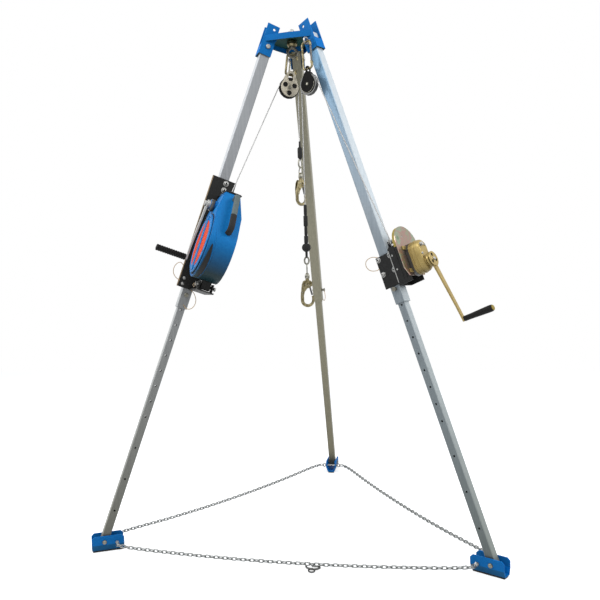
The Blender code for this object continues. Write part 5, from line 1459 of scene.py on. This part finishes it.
strips = [block((0.0580, BRACKET_LOW, 0.0258), (0.0586, BRACKET_HIGH, 0.0320), BLOCK_SIDE),
          block((0.0542, BRACKET_LOW, 0.0314), (0.0584, BRACKET_HIGH, 0.0320), BLOCK_SIDE)]
new_piece("bracket_edge", *together(strips), tan_edge, CASING, "zinc_steel")
sleeve = block((0.1810, 1.2538, -0.0667), (0.2090, 1.3020, -0.0233), BLOCK_FACE)
new_piece("anchor_sleeve", *sleeve, black_paint, CASING, "black_plastic", bevel=0.0012)

BRACKET_BOLTS = ((-0.015, 1.791, 0.0104, 0.0088), (-0.015, 1.757, 0.0104, 0.0088),
                 (0.034, 1.290, 0.0060, 0.0045), (0.034, 1.262, 0.0060, 0.0045),
                 (-0.044, 1.300, 0.0060, 0.0045))      # n, u, radius and height of each head
heads = [bolt_head(LEFT @ shift(n, BRACKET_SIDE, u) @ SPIN_ALONG_Y, radius, height)
         for n, u, radius, height in BRACKET_BOLTS]
new_piece("bracket_bolts", *together(heads), bright_steel, CASING, "zinc_steel", smooth=35)

anchor = LEFT @ shift(0, 0.195, ANCHOR_U) @ TURN_TO_TU
hexes = [plate(hexagon(0.019), [], -0.0045, 0.0045, anchor),
         plate(circle(0, 0, 0.0125), [], -0.0090, -0.0045, anchor),
         plate(hexagon(0.019), [], -0.0950, -0.0880, anchor)]
new_piece("anchor_bolt", *together(hexes), zinc_plate, CASING, "zinc_steel", bevel=0.0006)
print("bracket has", len(heads), "bolts")

# %% Anchor's ring and the lanyards
RING_RADIUS = 0.008

angle = np.linspace(0, 2 * np.pi, 40, endpoint=False)
ring = np.stack([0 * angle, RING_RADIUS * np.cos(angle), RING_RADIUS * np.sin(angle)], 1)
points, faces = swept(ring, 0.0010, (1, 0, 0), 8, round_path=True)
ring_place = LEFT @ shift(0.0075, 0.200, 1.262) @ Matrix.Rotation(0.5, 4, "Z")
new_piece("anchor_ring", placed(points, ring_place), faces, tan_plastic, CASING, "tan_plastic", smooth=60)

loop_cord("block_lanyard", [(0.056, 0.0325, 1.346), (0.078, 0.034, 1.354), (0.096, 0.036, 1.330),
                            (0.094, 0.036, 1.300), (0.076, 0.034, 1.280), (0.052, 0.0325, 1.272)],
          "left", CASING)
loop_cord("pin_lanyard", [(-0.012, 0.0330, 1.246), (-0.034, 0.036, 1.232), (-0.052, 0.040, 1.202),
                          (-0.048, 0.042, 1.168), (-0.026, 0.040, 1.152), (0.000, 0.0365, 1.166)],
          "left", CASING)
print("retrieval block done")

# %% [markdown]
# ## Hand winch
# The channel that carries the winch has low sides, so the guide roller shows above them. It is made of
# plates. The gear case is gold enamel with ribs, a boss and bolts, and the crank's hub is a plate with three
# round holes.

# %% Channel of plates
RIGHT = leg_frame("right")
WINCH_FACE = RIGHT @ TURN_TO_TU
WINCH_SIDE = RIGHT @ TURN_TO_NU
WINCH = body_of("winch_frame")
CHANNEL_LOW = 1.214
CHANNEL_HALF = 0.0500
CHANNEL_WALL = 0.005
BASE_N = 0.0400                 # n of the base plate's leg side
CHANNEL_OUT = 0.1120

near_wall = [(BASE_N, CHANNEL_LOW), (CHANNEL_OUT, CHANNEL_LOW), (CHANNEL_OUT, 1.392), (0.1060, 1.396),
             (0.0480, 1.392), (BASE_N, 1.386)]
far_wall = [(BASE_N, CHANNEL_LOW), (CHANNEL_OUT, CHANNEL_LOW), (CHANNEL_OUT, 1.400), (0.1060, 1.404),
            (BASE_N, 1.404)]
base = [(-0.0495, CHANNEL_LOW), (0.0495, CHANNEL_LOW), (0.0495, 1.404), (-0.008, 1.404), (-0.0105, 1.426),
        (-0.020, 1.430), (-0.0295, 1.426), (-0.0320, 1.400), (-0.0495, 1.386)]
base_holes = [circle(ROLLER_T, ROLLER_U, 0.0045, 12), circle(0, DRUM_U, 0.0083, 20)]
channel = [plate(near_wall, [], -CHANNEL_HALF, -CHANNEL_HALF + CHANNEL_WALL, WINCH_SIDE),
           plate(far_wall, [], CHANNEL_HALF - CHANNEL_WALL, CHANNEL_HALF, WINCH_SIDE),
           plate(base, base_holes, BASE_N, BASE_N + CHANNEL_WALL, WINCH_FACE),
           block((-0.044, 1.228, 0.0257), (0.041, 1.380, 0.0317), WINCH_SIDE)]
channel += [block((n, 1.236, -0.0515), (n + 0.006, 1.376, -0.0498), WINCH_SIDE) for n in (0.070, 0.088)]
new_piece("winch_channel", *together(channel), black_paint, WINCH, "black_plastic", bevel=0.0008,
          nodes=("winch_bracket",))
print("channel:", len(channel), "plates")

# %% Winch's own pieces
softened("winch_clamp", black_paint, 0.0008)
softened("winch_frame", iridescent, 0.0008)
softened("winch_drum", zinc_plate, 0.0004)
softened("winch_roller", bright_steel, 0.0006)

roller_place = RIGHT @ shift(0, ROLLER_T, ROLLER_U) @ SPIN_ALONG_X
flanges = [collar([(0.0096, n), (0.0155, n), (0.0155, n + 0.0025), (0.0096, n + 0.0025)], roller_place)
           for n in (0.0480, 0.0790, 0.1060)]
new_piece("roller_flanges", *together(flanges), zinc_plate, body_of("winch_roller"), "zinc_steel",
          bevel=0.0004)
softened("winch_gear_case", gold_enamel, 0.0022, segments=3)
softened("winch_crank", gold_enamel, 0.0010)
print("roller has", len(flanges), "flanges")

# %% Clamp's bolts and edge, and the plate's rim
CLAMP_BOLT_N, CLAMP_BOLT_U = 0.0315, (1.296, 1.366)
CLAMP_SIDE = 0.0316             # t of the clamp's near and far sides
CHANNEL_SCREWS = ((0.0555, 1.352), (0.0570, 1.286), (0.1050, 1.340))
PLATE_ROUND_U = 1.382           # middle of the frame plate's round top

places = [(n, u) for u in CLAMP_BOLT_U for n in (-CLAMP_BOLT_N, CLAMP_BOLT_N)]
heads = [bolt_head(RIGHT @ shift(n, -CLAMP_SIDE, u) @ SPIN_BACK_Y, 0.0096, 0.0076) for n, u in places]
heads += [plate(hexagon(0.0172, n, u), [], CLAMP_SIDE, 0.0384, WINCH_SIDE) for n, u in places]
heads += [plate(hexagon(0.0080, n, u), [], -0.0520, -0.0495, WINCH_SIDE) for n, u in CHANNEL_SCREWS]
new_piece("clamp_bolts", *together(heads), bright_steel, WINCH, "zinc_steel", smooth=35, bevel=0.0003)
bright = block((0.0404, 1.2285, -0.0506), (0.0444, 1.3795, -0.0498), WINCH_SIDE)
new_piece("clamp_edge", *bright, zinc_plate, WINCH, "zinc_steel")
rim = np.concatenate([circle(0, PLATE_ROUND_U, 0.0878, 40, -6, 186),
                      circle(0, PLATE_ROUND_U, 0.0846, 40, 186, -6)])
new_piece("plate_rim", *plate(rim, [], 0.1000, 0.1125, WINCH_FACE), gold_film, WINCH, "yellow_zinc")
loop_cord("winch_lanyard", [(-0.030, -0.0325, 1.380), (-0.060, -0.034, 1.393), (-0.092, -0.035, 1.388),
                            (-0.101, -0.036, 1.365), (-0.088, -0.035, 1.340), (-0.056, -0.034, 1.326),
                            (-0.040, -0.0325, 1.328)],
          "right", WINCH)
print("clamp and channel have", len(heads), "heads and nuts")

# %% Gear case
WINCH_CRANK_U = 1.272
CASE_TOP = 0.1840               # n of the gear case's outer face
CASE_HIGH_U, CASE_LOW_U = 1.340, 1.268   # middles of its two round ends


def oblong(radius):
    """The gear case's outline in t and u: a half circle above and one below, joined by straight sides."""
    return np.concatenate([circle(0, CASE_HIGH_U, radius, 24, 0, 180),
                           circle(0, CASE_LOW_U, radius, 24, 180, 360)])


boss = [(0.0085, CASE_TOP), (0.0270, CASE_TOP), (0.0270, 0.1885), (0.0240, 0.1910), (0.0085, 0.1910)]
ribs = [plate(oblong(0.0405), [], 0.1560, 0.1610, WINCH_FACE),
        plate(oblong(0.0400), [], 0.1400, 0.1420, WINCH_FACE),
        collar(boss, RIGHT @ shift(0, 0, WINCH_CRANK_U) @ SPIN_ALONG_X)]
new_piece("case_ribs", *together(ribs), gold_enamel, WINCH, "gold_paint", bevel=0.0008)
# A dark ring round the gear case's foot: painted shadow in the gap between the frame plate and the case.
gap_shade = plate(oblong(0.0398), [], 0.1168, 0.1310, WINCH_FACE)
new_piece("case_gap_shade", *gap_shade, dark_steel, WINCH, "black_plastic", bevel=0.0006)
bolts = [plate(hexagon(0.0150, -0.014, 1.352), [], CASE_TOP, 0.1960, WINCH_FACE),
         plate(circle(-0.014, 1.352, 0.0095), [], 0.1835, 0.1865, WINCH_FACE)]
bolts += [plate(hexagon(0.0090, t, u), [], CASE_TOP, 0.1890, WINCH_FACE)
          for t, u in ((0.017, 1.350), (-0.0265, 1.310), (0.0265, 1.310))]
new_piece("case_bolts", *together(bolts), bright_steel, WINCH, "zinc_steel", bevel=0.0005)
print("gear case has", len(bolts) - 1, "bolts")

# %% Crank's hub
HUB_TURN = math.radians(12)
WINCH_CRANK = body_of("winch_crank")

hub = RIGHT @ shift(0, 0, WINCH_CRANK_U) @ Matrix.Rotation(HUB_TURN, 4, "X")
hub_face = hub @ TURN_TO_TU
hub_holes = three_holes(0.0190, 0.0078, (90, 210, 330), 20)
hub_plate = plate(circle(0, 0, 0.0345, 48), hub_holes, 0.2116, 0.2146, hub_face)
new_piece("hub_plate", *hub_plate, gold_enamel, WINCH_CRANK, "gold_paint", bevel=0.0006)
# A black disc just behind the hub plate: painted shade seen through its holes.
recess = plate(circle(0, 0, 0.0310, 40), [], 0.2098, 0.2118, hub_face)
new_piece("hub_recess", *recess, black_paint, WINCH_CRANK, "black_plastic")
washer = collar([(0.0082, 0.1918), (0.0215, 0.1918), (0.0215, 0.1936), (0.0082, 0.1936)], hub @ SPIN_ALONG_X)
new_piece("hub_washer", *washer, copper, WINCH_CRANK, "gold_paint")
nut = plate(hexagon(0.0140), [], 0.2140, 0.2200, hub_face)
new_piece("hub_nut", *nut, bright_steel, WINCH_CRANK, "zinc_steel", bevel=0.0006)
print("hub plate has", len(hub_holes), "holes")

# %% Winch's grip
WINCH_ARM = 0.290
WINCH_GRIP = body_of("winch_crank_grip")

grip_place = hub @ shift(z=-WINCH_ARM) @ SPIN_ALONG_X
handle = [(GRIP_BORE, 0.2226), (0.0110, 0.2226), (0.0122, 0.2250), (0.0118, 0.2350), (0.0122, 0.2600),
          (0.0138, 0.3000), (0.0150, 0.3350), (0.0153, 0.3460), (0.0146, 0.3550), (0.0128, 0.3594),
          (GRIP_BORE, 0.3600)]
new_piece("winch_grip", *collar(handle, grip_place), black_plastic, WINCH_GRIP, "black_plastic", smooth=50,
          nodes=("winch_crank_grip",))
end = [(0.0120, 0.3592), (0.0124, 0.3600), (0.0105, 0.3622), (0.0040, 0.3630)]
new_piece("grip_end", *turned(end, grip_place, 24), gold_film, WINCH_GRIP, "zinc_steel")
print("winch done")

# %% [markdown]
# ## Small things on the head, the legs and the chain
# A lock nut sits on the head's eye bolt. The rear height pin has a tan cord to its leg, and a spring clip
# joins the two halves of the front chain.

# %% Lock nut and eye boss
HEAD_PLATE = 0.006              # thicknesses of the plate, and of the eye bolt's washer and nut
EYE_WASHER, EYE_NUT = 0.004, 0.022

under = PIVOT_HEIGHT + HEAD_PLATE_UP
top = PIVOT_HEIGHT + HEAD_PLATE_UP + HEAD_PLATE + EYE_WASHER + EYE_NUT
thread_end = [(0.0110, top + 0.011), (0.0110, top + 0.020), (0.0085, top + 0.023)]
lock_nut = [plate(hexagon(0.036), [], top + 0.001, top + 0.012, Matrix()), turned(thread_end, Matrix(), 20)]
new_piece("lock_nut", *together(lock_nut), zinc_plate, "head", "zinc_steel", bevel=0.0008)
boss = [(0.0095, under - 0.0005), (0.0230, under - 0.0005), (0.0265, under - 0.0060),
        (0.0265, under - 0.0220), (0.0210, under - 0.0310), (0.0095, under - 0.0330)]
new_piece("eye_boss", *turned(boss, Matrix(), 32), olive_zinc, "head", "zinc_steel", smooth=50,
          bevel=0.0010)
print("lock nut sits at z", round(top, 3))

# %% Chain clip and rear lanyard
CLIP_X = 0.128                  # where along the front chain the clip lies
CLIP_HOOK = ((-0.030, 0.004), (-0.022, -0.012), (-0.004, -0.022), (0.014, -0.024), (0.030, -0.010),
             (0.030, 0.004), (0.016, 0.010), (-0.006, 0.010))
CLIP_LOOP = ((0.002, -0.016), (-0.012, -0.034), (-0.002, -0.052), (0.014, -0.046), (0.010, -0.020))

middle = front[np.argmin(np.abs(front[:, 0] - CLIP_X))]
shells = []
for bends, radius in ((CLIP_HOOK, 0.0042), (CLIP_LOOP, 0.0036)):
    route = np.array([(middle[0] + x, middle[1] + y, radius + 0.001) for x, y in bends])
    shells.append(swept(smooth_line(route, 0.003), radius, (0, 0, 1), 8))
new_piece("chain_clip", *together(shells), dark_steel, "head", "zinc_steel", smooth=60)

REAR_PIN_Z = 1.186691           # height of the rear pin's axis
pin_u = LEG_LENGTH - (PIVOT_HEIGHT - REAR_PIN_Z) / math.cos(LEG_TILT)
loop = [(-0.010, -0.041, -0.002), (-0.022, -0.046, -0.020), (-0.020, -0.044, -0.048),
        (-0.006, -0.034, -0.066), (0.004, -0.0265, -0.060)]
loop_cord("rear_lanyard", [(n, t, pin_u + u) for n, t, u in loop], "rear", body_of("upper_leg_rear"))
print("small things done")
